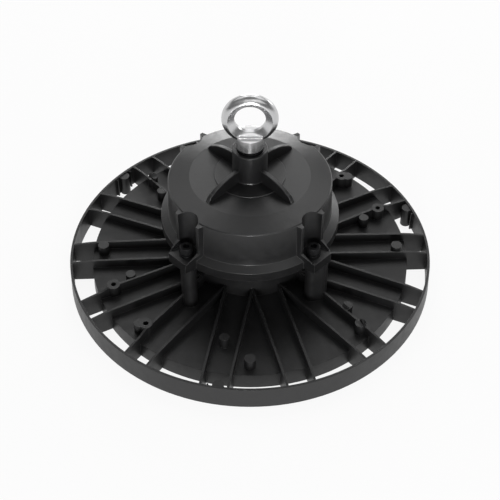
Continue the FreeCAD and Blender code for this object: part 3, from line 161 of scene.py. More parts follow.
class HighBayTrim(bpy.types.PropertyGroup):
    """Small shapes that are laid on the solids."""
    knurls: IntProperty(name="Knurls", description="Ridges round a socket head", default=44,
                        min=12, max=90)
    knurl_height: length("Knurl height", "How far the ridges stand out", 0.00014)
    knurl_margin: length("Knurl margin", "Smooth band above and below the ridges", 0.0008)
    window_radius: length("Window radius", "Radius of an LED package's phosphor window", 0.00118)
    window_height: length("Window height", "How far a window stands out of its package", 0.00006)
    fin_pairs: IntProperty(name="Fin pairs", description="Pairs of fins round the heat sink",
                           default=14, min=1)
    first_pair_turn: direction("First pair", "Direction of the first pair", 2.3)
    fin_spacing: length("Fin spacing", "Distance between the two fins of a pair", 0.02148)
    fin_width: length("Fin width", "Thickness of a fin", 0.0018)
    fin_root_out: length("Fin root", "Distance out to where a fin's top starts to fall", 0.070)
    fin_root_height: length("Fin root height", "Height of a fin near the hub", 0.0223)
    fin_crest_out: length("Fin crest", "Distance out to the deck's edge", 0.130)
    fin_crest_height: length("Fin crest height", "Height of a fin at the deck's edge", 0.0210)
    fin_rim_out: length("Fin rim", "Distance out to the rim's inner face", 0.1475)
    fin_rim_height: length("Fin rim height", "Height of a fin at the rim", 0.019)
    fin_bow: length("Fin bow", "How far a fin's top bows up over the open gap", 0.0002)
    boss_out: length("Boss distance", "Distance of the screw bosses from the axis", 0.1193)
    boss_turn: direction("Boss direction", "Direction of the middle of a pair of bosses", 34.6)
    boss_spread: direction("Boss spread", "Turn from that middle to each boss", 12.3)
    boss_clearance: length("Boss clearance", "Distance round a screw boss that stays as it is",
                           0.0062)
    rib_width: length("Rib width", "Width of a dome rib's crown", 0.0034)
    rib_draft: length("Rib draft", "How much wider a rib is at its foot, on each side", 0.0003)
    rib_round: length("Rib rounding", "Chamfer along the top of a rib", 0.0004)
    rib_foot: length("Rib foot", "Height at which the ribs end inside the dome", 0.1006)
    rib_root_out: length("Rib root", "Distance of a rib's root from the axis", 0.0135)
    rib_root_height: length("Rib root height", "Height of a rib at its root", 0.1143)
    rib_bow_out: length("Rib bow", "Distance out of the point that a rib bows towards", 0.0325)
    rib_bow_height: length("Rib bow height", "Height of the point that a rib bows towards", 0.1137)
    rib_shoulder_out: length("Rib shoulder", "Distance out to where a rib turns down", 0.0412)
    rib_shoulder_height: length("Rib shoulder height", "Height where a rib turns down", 0.1075)
    rib_nose_out: length("Rib nose", "Distance out of the rounded nose", 0.0450)
    rib_nose_height: length("Rib nose height", "Height of the rounded nose", 0.1064)
    rib_end_out: length("Rib end", "Distance out to the foot of a rib's end", 0.0468)
    step_radius: length("Step radius", "Radius of the raised middle of the dome", 0.02845)
    step_height: length("Step height", "Height of the top of that raised middle", 0.10305)
    step_depth: length("Step depth", "Height of the step round it, with what is sunk in", 0.0011)
    step_round: length("Step rounding", "Chamfer of the step's edge", 0.0003)


class HighBayStage(bpy.types.PropertyGroup):
    """Camera, floor and lamps."""
    camera_lens: FloatProperty(name="Camera lens", description="Focal length in millimetres",
                               default=82.83, min=1)
    camera_back: length("Camera back", "How far in front of the light the camera stands", 0.6824)
    camera_height: length("Camera height", "Height of the camera over the floor", 0.7016)
    aim_height: length("Aim height", "Height of the point that the camera looks at", 0.0173)
    floor_colour: colour("Floor colour", "Colour of the floor", (0.92, 0.92, 0.92))
    floor_shade: share("Floor shade", "How much of its shading the floor shows", 0.10)
    wall_light: share("Wall light", "Brightness of the white wall behind the light", 1.0)
    front_light: share("Front light", "Brightness of the studio behind the camera", 0.2)
    ceiling_light: share("Ceiling light", "Brightness of the studio overhead", 0.22)
    lamp_distance: length("Lamp distance", "Distance of the softboxes from the light", 1.5)
    lamp_target: length("Lamp target", "Height of the point that the softboxes face", 0.08)
    front_strip_power: lamp_power("Front strip lamp", "Power of the narrow low lamp in front",
                                  18)
    front_high_power: lamp_power("Front high lamp", "Power of the high softbox in front", 2.1)
    front_right_power: lamp_power("Front right lamp", "Power of the softbox front right", 2.4)
    front_left_power: lamp_power("Front left lamp", "Power of the softbox front left", 0.5)
    back_left_power: lamp_power("Back left lamp", "Power of the softbox back left", 2.0)
    back_low_power: lamp_power("Back low lamp", "Power of the low softbox behind", 6.6)
    back_high_power: lamp_power("Back high lamp", "Power of the high softbox behind", 3.0)
    back_right_low_power: lamp_power("Back right low lamp",
                                     "Power of the low softbox back right", 1.8)
    back_right_high_power: lamp_power("Back right high lamp",
                                      "Power of the high softbox back right", 2.6)


# Nodes of a finish ------------------------------------------------------------------------

class Finish:
    """A procedural material that is put together from a few kinds of texture."""

    def __init__(self, name):
        self.material = bpy.data.materials.new(name)
        self.material.use_nodes = True
        self.nodes = self.material.node_tree.nodes
        self.links = self.material.node_tree.links
        self.nodes.clear()
        self.output = self.nodes.new("ShaderNodeOutputMaterial")
        self.shader = self.nodes.new("ShaderNodeBsdfPrincipled")
        self.links.new(self.shader.outputs["BSDF"], self.output.inputs["Surface"])
        self.place = self.nodes.new("ShaderNodeTexCoord").outputs["Object"]

    def set(self, **values):
        """Set sockets of the shader, such as metallic=1."""
        for name, value in values.items():
            socket = self.shader.inputs[name.replace("_", " ").title().replace("Ior", "IOR")]
            socket.default_value = value
        return self

    def math(self, operation, first, second=None):
        node = self.nodes.new("ShaderNodeMath")
        node.operation = operation
        for socket, value in zip(node.inputs, (first, second)):
            if isinstance(value, (int, float)):
                socket.default_value = value
            elif value is not None:
                self.links.new(value, socket)
        return node.outputs["Value"]

    def noise(self, size, detail=3.0, stretch=(1, 1, 1)):
        """Soft random patches about size metres wide."""
        node = self.nodes.new("ShaderNodeTexNoise")
        node.inputs["Scale"].default_value = 1 / size
        node.inputs["Detail"].default_value = detail
        place = self.place
        if stretch != (1, 1, 1):
            mapping = self.nodes.new("ShaderNodeMapping")
            mapping.inputs["Scale"].default_value = stretch
            self.links.new(self.place, mapping.inputs["Vector"])
            place = mapping.outputs["Vector"]
        self.links.new(place, node.inputs["Vector"])
        return node.outputs["Fac"]

    def axis(self, name):
        """The X, Y or Z place of the point that is shaded, in metres."""
        node = self.nodes.new("ShaderNodeSeparateXYZ")
        self.links.new(self.place, node.inputs["Vector"])
        return node.outputs[name]

    def distance_out(self, x=0.0, y=0.0):
        """Distance from an upright line through x and y."""
        along = self.math("SUBTRACT", self.axis("X"), x)
        aside = self.math("SUBTRACT", self.axis("Y"), y)
        squares = self.math("ADD", self.math("MULTIPLY", along, along),
                            self.math("MULTIPLY", aside, aside))
        return self.math("SQRT", squares)

    def ripples(self, value, spacing):
        """Waves from 0 to 1 along a value."""
        turns = self.math("MULTIPLY", value, 2 * math.pi / spacing)
        return self.math("MULTIPLY_ADD", self.math("SINE", turns), 0.5)

    def spread(self, value, low, high, first=0.3, last=0.7):
        """Map a value from first..last to low..high."""
        node = self.nodes.new("ShaderNodeMapRange")
        for socket, number in zip(("From Min", "From Max", "To Min", "To Max"),
                                  (first, last, low, high)):
            node.inputs[socket].default_value = number
        self.links.new(value, node.inputs["Value"])
        return node.outputs["Result"]

    def mix(self, value, first, second):
        """A colour between two colours, or between a texture's colour and a colour."""
        node = self.nodes.new("ShaderNodeMix")
        node.data_type = "RGBA"
        self.links.new(value, node.inputs["Factor"])
        for socket, shade in (("A", first), ("B", second)):
            socket = next(s for s in node.inputs if s.name == socket and s.type == "RGBA")
            if hasattr(shade, "links"):
                self.links.new(shade, socket)
            else:
                socket.default_value = (*shade, 1)
        return next(s for s in node.outputs if s.type == "RGBA")

    def mottle(self, shade, amount, size):
        """Base colour that drifts a little lighter and darker."""
        darker = [part * (1 - amount) for part in shade]
        lighter = [min(part * (1 + amount), 1) for part in shade]
        drift = self.spread(self.noise(size), 0, 1)
        self.base = self.mix(drift, darker, lighter)
        self.links.new(self.base, self.shader.inputs["Base Color"])
        return self

    def tint(self, value, shade):
        """Lay another colour over the base colour where value is 1."""
        self.base = self.mix(value, self.base, shade)
        self.links.new(self.base, self.shader.inputs["Base Color"])
        return self

    def rough(self, middle, swing, size):
        """Roughness that drifts round its middle value."""
        drift = self.spread(self.noise(size), max(middle - swing, 0), min(middle + swing, 1))
        self.links.new(drift, self.shader.inputs["Roughness"])
        return self

    def rounded(self, radius):
        """Round the edges in the shading, and remember where the edges are."""
        bevel = self.nodes.new("ShaderNodeBevel")
        bevel.samples = 4
        bevel.inputs["Radius"].default_value = radius
        flat = self.nodes.new("ShaderNodeNewGeometry")
        dot = self.nodes.new("ShaderNodeVectorMath")
        dot.operation = "DOT_PRODUCT"
        self.links.new(bevel.outputs["Normal"], dot.inputs[0])
        self.links.new(flat.outputs["Normal"], dot.inputs[1])
        self.edges = self.spread(dot.outputs["Value"], 1, 0, 0.75, 0.995)
        self.normal = bevel.outputs["Normal"]
        self.links.new(self.normal, self.shader.inputs["Normal"])
        return self

    def bump(self, value, height):
        """Raise the surface in the shading by value times height."""
        node = self.nodes.new("ShaderNodeBump")
        node.inputs["Distance"].default_value = height
        node.inputs["Strength"].default_value = 1
        self.links.new(value, node.inputs["Height"])
        if getattr(self, "normal", None):
            self.links.new(self.normal, node.inputs["Normal"])
        self.normal = node.outputs["Normal"]
        self.links.new(self.normal, self.shader.inputs["Normal"])
        return self


def put_on(finish, *names):
    """Give frame nodes a finish."""
    for name in names:
        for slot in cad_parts[name].material_slots:
            slot.material = finish.material


# Finishes ---------------------------------------------------------------------------------

def powder_coat(name, shade, roughness, sheen, edge_highlight, coating):
    """Black powder coat over a casting: fine peel, drifting sheen, edges painted lighter as a
    painted highlight.
    """
    finish = Finish(name).rounded(coating.edge_radius)
    finish.set(specular_ior_level=sheen)
    finish.mottle(shade, 0.12, coating.cloud_size)
    # Painted highlight: the edges' colour is raised by this amount, lighter than the coat.
    edge_highlight_colour = [part + edge_highlight for part in shade]
    finish.tint(finish.edges, edge_highlight_colour)
    finish.rough(roughness, 0.04, coating.cloud_size / 3)
    finish.bump(finish.noise(coating.grain_size, 2), coating.grain_height)
    finish.bump(finish.noise(coating.grain_size * 6, 1), coating.grain_height * 1.5)
    return finish


def housing_coat(name, coating):
    return powder_coat(name, tuple(coating.housing_colour), coating.housing_roughness,
                       coating.housing_sheen, coating.housing_edge_highlight, coating)


def plated_steel(name, shade, roughness, edge_radius):
    finish = Finish(name).set(metallic=1.0).rounded(edge_radius)
    finish.mottle(shade, 0.06, 0.003)
    finish.rough(roughness, 0.06, 0.0015)
    finish.bump(finish.noise(0.0003, 2), 0.000004)
    return finish


def forged_steel(name, shade, roughness, edge_radius):
    """Bright plating over a forging whose surface still waves a little."""
    finish = Finish(name).set(metallic=1.0).rounded(edge_radius)
    finish.mottle(shade, 0.04, 0.008)
    finish.rough(roughness, 0.03, 0.004)
    finish.bump(finish.noise(0.006, 1), 0.00006)
    finish.bump(finish.noise(0.0004, 2), 0.000003)
    return finish


def black_oxide(name, shade, roughness, edge_radius):
    """Blackened steel with brighter rubbed edges."""
    finish = Finish(name).set(metallic=0.7).rounded(edge_radius)
    finish.mottle(shade, 0.2, 0.002)
    finish.tint(finish.spread(finish.edges, 0, 0.5, 0, 1), [part * 3 for part in shade])
    finish.rough(roughness, 0.08, 0.002)
    finish.bump(finish.noise(0.0004, 2), 0.000006)
    return finish


def moulded(name, shade, roughness, grain=0.0004, height=0.00001, edge_radius=0.0002):
    """Moulded plastic with a fine spark-eroded texture."""
    finish = Finish(name).rounded(edge_radius)
    finish.mottle(shade, 0.08, 0.006)
    finish.rough(roughness, 0.05, 0.003)
    finish.bump(finish.noise(grain, 2), height)
    return finish


def soft_rubber(name, shade):
    finish = moulded(name, shade, 0.72, 0.0006, 0.00002, 0.0003)
    return finish.set(sheen_weight=0.15, sheen_roughness=0.5)


def sheet_metal(name, shade):
    """Mill-finished sheet with its rolling lines."""
    finish = Finish(name).set(metallic=1.0).rounded(0.0002)
    finish.mottle(shade, 0.05, 0.01)
    finish.rough(0.34, 0.06, 0.004)
    finish.bump(finish.noise(0.001, 3, (1, 30, 1)), 0.000006)
    return finish


# Small pieces -----------------------------------------------------------------------------

def solids_of(name):
    """Lowest and highest corner of each separate solid of a frame node."""
    mesh = bmesh.new()
    mesh.from_mesh(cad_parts[name].data)
    bmesh.ops.remove_doubles(mesh, verts=mesh.verts, dist=1e-6)
    seen, boxes = set(), []
    for start in mesh.verts:
        if start in seen:
            continue
        found, waiting = [], [start]
        seen.add(start)
        while waiting:
            vert = waiting.pop()
            found.append(vert.co.copy())
            for edge in vert.link_edges:
                other = edge.other_vert(vert)
                if other not in seen:
                    seen.add(other)
                    waiting.append(other)
        boxes.append(tuple(Vector(pick(co[axis] for co in found) for axis in range(3))
                           for pick in (min, max)))
    mesh.free()
    return boxes


def new_piece(name, mesh, finish):
    """Make a mesh into a piece that belongs to the light's body."""
    bmesh.ops.recalc_face_normals(mesh, faces=mesh.faces)
    data = bpy.data.meshes.new(name)
    mesh.to_mesh(data)
    mesh.free()
    piece = bpy.data.objects.new(name, data)
    bpy.context.scene.collection.objects.link(piece)
    piece.data.materials.append(finish.material)
    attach(piece, "root")
    return piece


def ring_points(mesh, radii, height, centre):
    """A ring of points round an upright axis, one for each radius."""
    count = len(radii)
    return [mesh.verts.new((centre.x + radius * math.cos(2 * math.pi * step / count),
                            centre.y + radius * math.sin(2 * math.pi * step / count), height))
            for step, radius in enumerate(radii)]


def join_rings(mesh, rings, closed=False):
    """Faces between each ring of points and the next."""
    pairs = list(zip(rings, rings[1:]))
    if closed:
        pairs.append((rings[-1], rings[0]))
    for lower, upper in pairs:
        count = len(lower)
        for step in range(count):
            after = (step + 1) % count
            mesh.faces.new((lower[step], lower[after], upper[after], upper[step]))


def bowed_line(start, bow, end, steps):
    """Points of a curve from start to end that is drawn towards bow."""
    points = []
    for step in range(steps + 1):
        done = step / steps
        shares = ((1 - done) ** 2, 2 * done * (1 - done), done ** 2)
        points.append([sum(share * point[axis] for share, point in zip(shares, (start, bow, end)))
                       for axis in (0, 1)])
    return points


# Operators --------------------------------------------------------------------------------

class HIGHBAY_OT_stage(bpy.types.Operator):
    """Set up the floor, the sky, the lamps and the camera"""
    bl_idname = "highbay.stage"
    bl_label = "Set the Stage"

    def execute(self, context):
        stage = context.scene.high_bay_stage
        context.scene.view_settings.view_transform = "Standard"
        self.lay_floor(context, stage)
        self.light_sky(context, stage)
        # rise in degrees, then width and height in metres
        strip, low, high = (5, 0.2, 0.5), (12, 0.6, 0.4), (50, 0.9, 0.9)
        for name, turn, shape in (
                ("front_strip", 0, strip), ("front_high", 0, high), ("front_right", 45, high),
                ("front_left", -45, high), ("back_left", -135, high), ("back_low", 180, low),
                ("back_high", 180, high), ("back_right_low", 135, low),
                ("back_right_high", 135, high)):
            self.hang_lamp(context, stage, name, turn, *shape)
        self.set_camera(context, stage)
        return {"FINISHED"}

    def lay_floor(self, context, stage):
        reach = 6.0
        gap = 0.0002
        low = FRAME_BOX[0][2] - gap
        mesh = bmesh.new()
        corners = [mesh.verts.new((x * reach, y * reach, low))
                   for x, y in ((-1, -1), (1, -1), (1, 1), (-1, 1))]
        mesh.faces.new(corners)
        data = bpy.data.meshes.new("floor")
        mesh.to_mesh(data)
        mesh.free()
        floor = bpy.data.objects.new("floor", data)
        context.scene.collection.objects.link(floor)
        finish = Finish("pale_floor")
        finish.mottle(tuple(stage.floor_colour), 0.01, 0.4)
        finish.set(roughness=0.8, specular_ior_level=0.2)
        paper = finish.nodes.new("ShaderNodeEmission")
        paper.inputs["Strength"].default_value = 1
        blend = finish.nodes.new("ShaderNodeMixShader")
        seen = seen_directly(finish.nodes, finish.links)
        finish.links.new(finish.math("MULTIPLY", seen, 1 - stage.floor_shade), blend.inputs["Fac"])
        finish.links.new(finish.shader.outputs["BSDF"], blend.inputs[1])
        finish.links.new(paper.outputs["Emission"], blend.inputs[2])
        from_above = finish.nodes.new("ShaderNodeMixShader")
        finish.links.new(finish.nodes.new("ShaderNodeNewGeometry").outputs["Backfacing"],
                         from_above.inputs["Fac"])
        finish.links.new(blend.outputs["Shader"], from_above.inputs[1])
        finish.links.new(finish.nodes.new("ShaderNodeBsdfTransparent").outputs["BSDF"],
                         from_above.inputs[2])
        finish.links.new(from_above.outputs["Shader"], finish.output.inputs["Surface"])
        floor.data.materials.append(finish.material)

    def light_sky(self, context, stage):
        """A white wall behind the light, a dim room in front and a dim ceiling.

        The camera sees plain white in every direction."""
        world = bpy.data.worlds.new("studio_sky")
        context.scene.world = world
        world.use_nodes = True
        nodes, links = world.node_tree.nodes, world.node_tree.links
        nodes.clear()
        output = nodes.new("ShaderNodeOutputWorld")
        sky = nodes.new("ShaderNodeBackground")
        sky.inputs["Color"].default_value = (1, 1, 1, 1)
        towards = nodes.new("ShaderNodeSeparateXYZ")
        links.new(nodes.new("ShaderNodeTexCoord").outputs["Generated"], towards.inputs["Vector"])
        front_to_wall, wall_to_ceiling = (-0.2, 0.3), (0.2, 0.4)
        round_about = nodes.new("ShaderNodeMapRange")
        upward = nodes.new("ShaderNodeMapRange")
        for node, axis, numbers in (
                (round_about, "Y", (*front_to_wall, stage.front_light, stage.wall_light)),
                (upward, "Z", (*wall_to_ceiling, stage.wall_light, stage.ceiling_light))):
            for socket, number in zip(("From Min", "From Max", "To Min", "To Max"), numbers):
                node.inputs[socket].default_value = number
            links.new(towards.outputs[axis], node.inputs["Value"])
        links.new(round_about.outputs["Result"], upward.inputs["To Min"])
        plain = nodes.new("ShaderNodeMix")
        links.new(nodes.new("ShaderNodeLightPath").outputs["Is Camera Ray"],
                  plain.inputs["Factor"])
        links.new(upward.outputs["Result"], plain.inputs["A"])
        plain.inputs["B"].default_value = 1
        links.new(plain.outputs["Result"], sky.inputs["Strength"])
        links.new(sky.outputs["Background"], output.inputs["Surface"])

    def hang_lamp(self, context, stage, name, turn, rise, width, height):
        """A softbox aimed at the light: turn goes round from the front, rise goes up."""
        lamp = bpy.data.lights.new(name, "AREA")
        lamp.shape = "RECTANGLE"
        lamp.size = width
        lamp.size_y = height
        lamp.energy = getattr(stage, name + "_power")
        holder = bpy.data.objects.new(name, lamp)
        turn, rise = math.radians(turn), math.radians(rise)
        away = Vector((math.sin(turn) * math.cos(rise), -math.cos(turn) * math.cos(rise),
                       math.sin(rise)))
        holder.location = Vector((0, 0, stage.lamp_target)) + away * stage.lamp_distance
        holder.rotation_euler = away.to_track_quat("Z", "Y").to_euler()
        context.scene.collection.objects.link(holder)

    def set_camera(self, context, stage):
        camera = bpy.data.objects.new("camera", bpy.data.cameras.new("camera"))
        camera.data.lens = stage.camera_lens
        camera.data.sensor_width = SENSOR_WIDTH
        camera.location = (0, -stage.camera_back, stage.camera_height)
        aim = Vector((0, 0, stage.aim_height))
        camera.rotation_euler = (aim - camera.location).to_track_quat("-Z", "Y").to_euler()
        context.scene.collection.objects.link(camera)
        context.scene.camera = camera


def seen_directly(nodes, links):
    """1 for rays from the camera and those that reflections and clear pieces send on."""
    path = nodes.new("ShaderNodeLightPath")
    value = path.outputs["Is Camera Ray"]
    for name in ("Is Glossy Ray", "Is Transmission Ray"):
        either = nodes.new("ShaderNodeMath")
        either.operation = "MAXIMUM"
        links.new(value, either.inputs[0])
        links.new(path.outputs[name], either.inputs[1])
        value = either.outputs["Value"]
    return value


class HIGHBAY_OT_castings(bpy.types.Operator):
    """Coat the heat sink and the driver housing"""
    bl_idname = "highbay.castings"
    bl_label = "Coat the Castings"

    def execute(self, context):
        coating = context.scene.high_bay_coating
        put_on(powder_coat("heat_sink_coat", tuple(coating.sink_colour),
                           coating.sink_roughness, coating.sink_sheen,
                           coating.sink_edge_highlight, coating), "heat_sink")
        put_on(housing_coat("driver_housing_coat", coating), "driver_housing")
        return {"FINISHED"}


class HIGHBAY_OT_fin_tops(bpy.types.Operator):
    """Let the fins' tops fall gently from the hub to the rim"""
    bl_idname = "highbay.fin_tops"
    bl_label = "Shape the Fin Tops"

    def execute(self, context):
        trim = context.scene.high_bay_trim
        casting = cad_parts["heat_sink"]
        data = casting.data.copy()
        data.name = "heat_sink_casting"
        bosses = self.boss_places(trim)
        turns = [trim.first_pair_turn + 2 * math.pi * pair / trim.fin_pairs
                 for pair in range(trim.fin_pairs)]
        above_rim, past_root, beside_fin = 0.0001, 0.001, 0.00005
        lowered = 0
        for vertex in data.vertices:
            place = vertex.co
            if place.z < trim.fin_rim_height + above_rim or any(
                    (place.xy - boss).length < trim.boss_clearance for boss in bosses):
                continue
            for turn in turns:
                along = Vector((math.cos(turn), math.sin(turn)))
                aside = Vector((-math.sin(turn), math.cos(turn)))
                out = place.xy.dot(along)
                off = abs(abs(place.xy.dot(aside)) - trim.fin_spacing / 2)
                if out < trim.fin_root_out + past_root or off > trim.fin_width / 2 + beside_fin:
                    continue
                # Known fault: some points of the legs and of four pins lie in line with a fin
                # and are lowered too, by up to 33 mm and 2.4 mm. Legs and pins should be left
                # as they are, like the bosses.
                height = self.top_height(trim, out)
                if place.z > height:
                    place.z = height
                    lowered += 1
        if not lowered:
            raise RuntimeError("no fin top was found")
        data.update()
        piece = bpy.data.objects.new("heat_sink_casting", data)
        context.scene.collection.objects.link(piece)
        for slot, coat in zip(piece.material_slots, casting.material_slots):
            slot.material = coat.material
        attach(piece, "root")
        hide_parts("heat_sink")
        return {"FINISHED"}

    def boss_places(self, trim):
        """Middles of the bosses that stand among the fins, in two opposite pairs."""
        turns = [trim.boss_turn + half_turn + side * trim.boss_spread
                 for half_turn in (0, math.pi) for side in (-1, 1)]
        return [trim.boss_out * Vector((math.cos(turn), math.sin(turn))) for turn in turns]

    def top_height(self, trim, out):
        """Height of a fin's top at a distance out."""
        if out < trim.fin_crest_out:
            share = (out - trim.fin_root_out) / (trim.fin_crest_out - trim.fin_root_out)
            return trim.fin_root_height + share * (trim.fin_crest_height - trim.fin_root_height)
        share = min((out - trim.fin_crest_out) / (trim.fin_rim_out - trim.fin_crest_out), 1)
        fall = share * (trim.fin_rim_height - trim.fin_crest_height)
        return trim.fin_crest_height + fall + 4 * share * (1 - share) * trim.fin_bow


class HIGHBAY_OT_dome_ribs(bpy.types.Operator):
    """Lay the arched crowns on the dome's four ribs"""
    bl_idname = "highbay.dome_ribs"
    bl_label = "Add Dome Ribs"

    def execute(self, context):
        coating = context.scene.high_bay_coating
        trim = context.scene.high_bay_trim
        mesh = bmesh.new()
        ribs, first_turn = 4, math.radians(45)
        for rib in range(ribs):
            self.add_rib(mesh, trim, first_turn + 2 * math.pi * rib / ribs)
        finish = housing_coat("dome_rib_coat", coating)
        new_piece("dome_ribs", mesh, finish)
        return {"FINISHED"}

    def add_rib(self, mesh, trim, angle):
        """One rib as a row of upright slices along its arched top."""
        arch_steps, nose_steps = 16, 10
        shoulder = (trim.rib_shoulder_out, trim.rib_shoulder_height)
        arch = bowed_line((trim.rib_root_out, trim.rib_root_height),
                          (trim.rib_bow_out, trim.rib_bow_height), shoulder, arch_steps)
        nose = bowed_line(shoulder, (trim.rib_nose_out, trim.rib_nose_height),
                          (trim.rib_end_out, trim.rib_foot + trim.rib_round), nose_steps)
        along = Vector((math.cos(angle), math.sin(angle), 0))
        aside = Vector((-math.sin(angle), math.cos(angle), 0))
        half = trim.rib_width / 2
        slices = []
        for out, height in arch + nose[1:]:
            corners = ((half + trim.rib_draft, trim.rib_foot), (half, height - trim.rib_round),
                       (half - trim.rib_round, height), (trim.rib_round - half, height),
                       (-half, height - trim.rib_round), (-half - trim.rib_draft, trim.rib_foot))
            slices.append([mesh.verts.new(along * out + aside * side + Vector((0, 0, rise)))
                           for side, rise in corners])
        join_rings(mesh, slices)
        mesh.faces.new(slices[0])
        mesh.faces.new(slices[-1])


class HIGHBAY_OT_dome_step(bpy.types.Operator):
    """Raise the middle of the dome by a small step"""
    bl_idname = "highbay.dome_step"
    bl_label = "Add Dome Step"

    def execute(self, context):
        coating = context.scene.high_bay_coating
        trim = context.scene.high_bay_trim
        mesh = bmesh.new()
        sides = 144
        inner = trim.rib_root_out
        low, top = trim.step_height - trim.step_depth, trim.step_height
        profile = ((inner, low), (trim.step_radius, low),
                   (trim.step_radius, top - trim.step_round),
                   (trim.step_radius - trim.step_round, top), (inner, top))
        rings = [ring_points(mesh, [radius] * sides, height, Vector())
                 for radius, height in profile]
        join_rings(mesh, rings, closed=True)
        finish = housing_coat("dome_step_coat", coating)
        new_piece("dome_step", mesh, finish)
        return {"FINISHED"}


class HIGHBAY_OT_lifting_eye(bpy.types.Operator):
    """Finish the lifting eye and the washers under it"""
    bl_idname = "highbay.lifting_eye"
    bl_label = "Finish the Lifting Eye"

    def execute(self, context):
        metals = context.scene.high_bay_metals
        put_on(forged_steel("bright_forging", tuple(metals.eye_colour), metals.eye_roughness,
                            metals.edge_radius * 2), "eye_bolt")
        # Painted shade: the washers under the collar get a black finish so that the gap under the
        # collar renders dark.
        put_on(black_oxide("eye_washer_black", tuple(metals.oxide_colour), metals.oxide_roughness,
                           metals.edge_radius), "eye_washer")
        put_on(black_oxide("spring_washer_black", tuple(metals.oxide_colour),
                           metals.oxide_roughness, metals.edge_radius), "eye_spring_washer")
        return {"FINISHED"}


class HIGHBAY_OT_fasteners(bpy.types.Operator):
    """Finish the screws, washers and standoffs"""
    bl_idname = "highbay.fasteners"
    bl_label = "Finish the Fasteners"

    def execute(self, context):
        metals = context.scene.high_bay_metals
        black = black_oxide("screw_black", tuple(metals.oxide_colour), metals.oxide_roughness,
                            metals.edge_radius)
        put_on(black, "housing_screws", "housing_washers")
        zinc = plated_steel("screw_zinc", tuple(metals.zinc_colour), metals.zinc_roughness,
                            metals.edge_radius)
        put_on(zinc, "base_plate_screws", "board_standoffs", "board_screws", "earth_screw",
               "led_board_screws", "lens_ring_screws")
        return {"FINISHED"}


class HIGHBAY_OT_screw_knurls(bpy.types.Operator):
    """Add the gripping ridges round the housing screws' socket heads"""
    bl_idname = "highbay.screw_knurls"
    bl_label = "Add Screw Knurls"

    def execute(self, context):
        trim = context.scene.high_bay_trim
        metals = context.scene.high_bay_metals
        washers = sorted(solids_of("housing_washers"), key=lambda box: tuple(box[0]))
        screws = sorted(solids_of("housing_screws"), key=lambda box: tuple(box[0]))
        if len(screws) != len(washers):
            raise RuntimeError("each housing screw needs its washer")
        valley_share, core_share = 0.1, 0.96
        mesh = bmesh.new()
        for low, high in screws:
            centre = (low + high) / 2
            seat = min(washers,
                       key=lambda box: ((box[0] + box[1]) / 2 - centre).xy.length)[1].z
            head = (high.x - low.x) / 2
            outer = [head + trim.knurl_height * (1 if step % 2 else valley_share)
                     for step in range(trim.knurls * 2)]
            inner = [head * core_share] * len(outer)
            bottom, top = seat + trim.knurl_margin, high.z - trim.knurl_margin
            rings = [ring_points(mesh, radii, height, centre) for radii, height in
                     ((inner, bottom), (outer, bottom), (outer, top), (inner, top))]
            join_rings(mesh, rings, closed=True)
        finish = black_oxide("knurl_black", tuple(metals.oxide_colour), metals.oxide_roughness,
                             metals.edge_radius / 4)
        new_piece("screw_knurls", mesh, finish)
        return {"FINISHED"}


class HIGHBAY_OT_gland(bpy.types.Operator):
    """Finish the cable gland"""
    bl_idname = "highbay.gland"
    bl_label = "Finish the Cable Gland"

    def execute(self, context):
        plastics = context.scene.high_bay_plastics
        put_on(moulded("gland_nylon", tuple(plastics.nylon_colour), 0.45),
               "cable_gland", "gland_cap", "gland_nut")
        put_on(soft_rubber("seal_rubber", tuple(plastics.rubber_colour)),
               "gland_seal", "lead_grommet")
        put_on(soft_rubber("gasket_silicone", tuple(plastics.gasket_colour)),
               "neck_gasket", "base_plate_gasket", "lens_gasket")
        return {"FINISHED"}


class HIGHBAY_OT_lens(bpy.types.Operator):
    """Finish the lens plate and its ring"""
    bl_idname = "highbay.lens"
    bl_label = "Finish the Lens"

    def execute(self, context):
        plastics = context.scene.high_bay_plastics
        metals = context.scene.high_bay_metals
        clear = Finish("clear_polycarbonate").rounded(0.0003)
        clear.mottle(tuple(plastics.lens_colour), 0.01, 0.05)
        clear.rough(0.07, 0.02, 0.01)
        clear.set(transmission_weight=1.0, ior=1.585)
        clear.bump(clear.noise(0.004, 1), 0.00002)
        put_on(clear, "lens_plate")
        put_on(black_oxide("lens_ring_black", tuple(metals.oxide_colour), 0.45,
                           metals.edge_radius), "lens_ring")
        return {"FINISHED"}


class HIGHBAY_OT_led_board(bpy.types.Operator):
    """Finish the LED board, its packages and its thermal pad"""
    bl_idname = "highbay.led_board"
    bl_label = "Finish the LED Board"

    def execute(self, context):
        plastics = context.scene.high_bay_plastics
        board = Finish("white_solder_mask").rounded(0.0002)
        board.mottle(tuple(plastics.mask_colour), 0.02, 0.03)
        board.rough(0.38, 0.05, 0.01)
        track_spacing, track_shade = 0.0042, 0.93
        tracks = board.ripples(board.distance_out(), track_spacing)
        board.tint(board.spread(tracks, 0, 0.35, 0.2, 0.3),
                   [part * track_shade for part in plastics.mask_colour])
        board.bump(board.spread(tracks, 0, 1, 0.2, 0.3), 0.00003)
        put_on(board, "led_board")
        put_on(moulded("package_resin", tuple(plastics.resin_colour), 0.3, 0.0002, 0.000003,
                       0.0001), "led_packages")
        pad = soft_rubber("thermal_pad_silicone", tuple(plastics.pad_colour))
        put_on(pad, "thermal_pad")
        return {"FINISHED"}


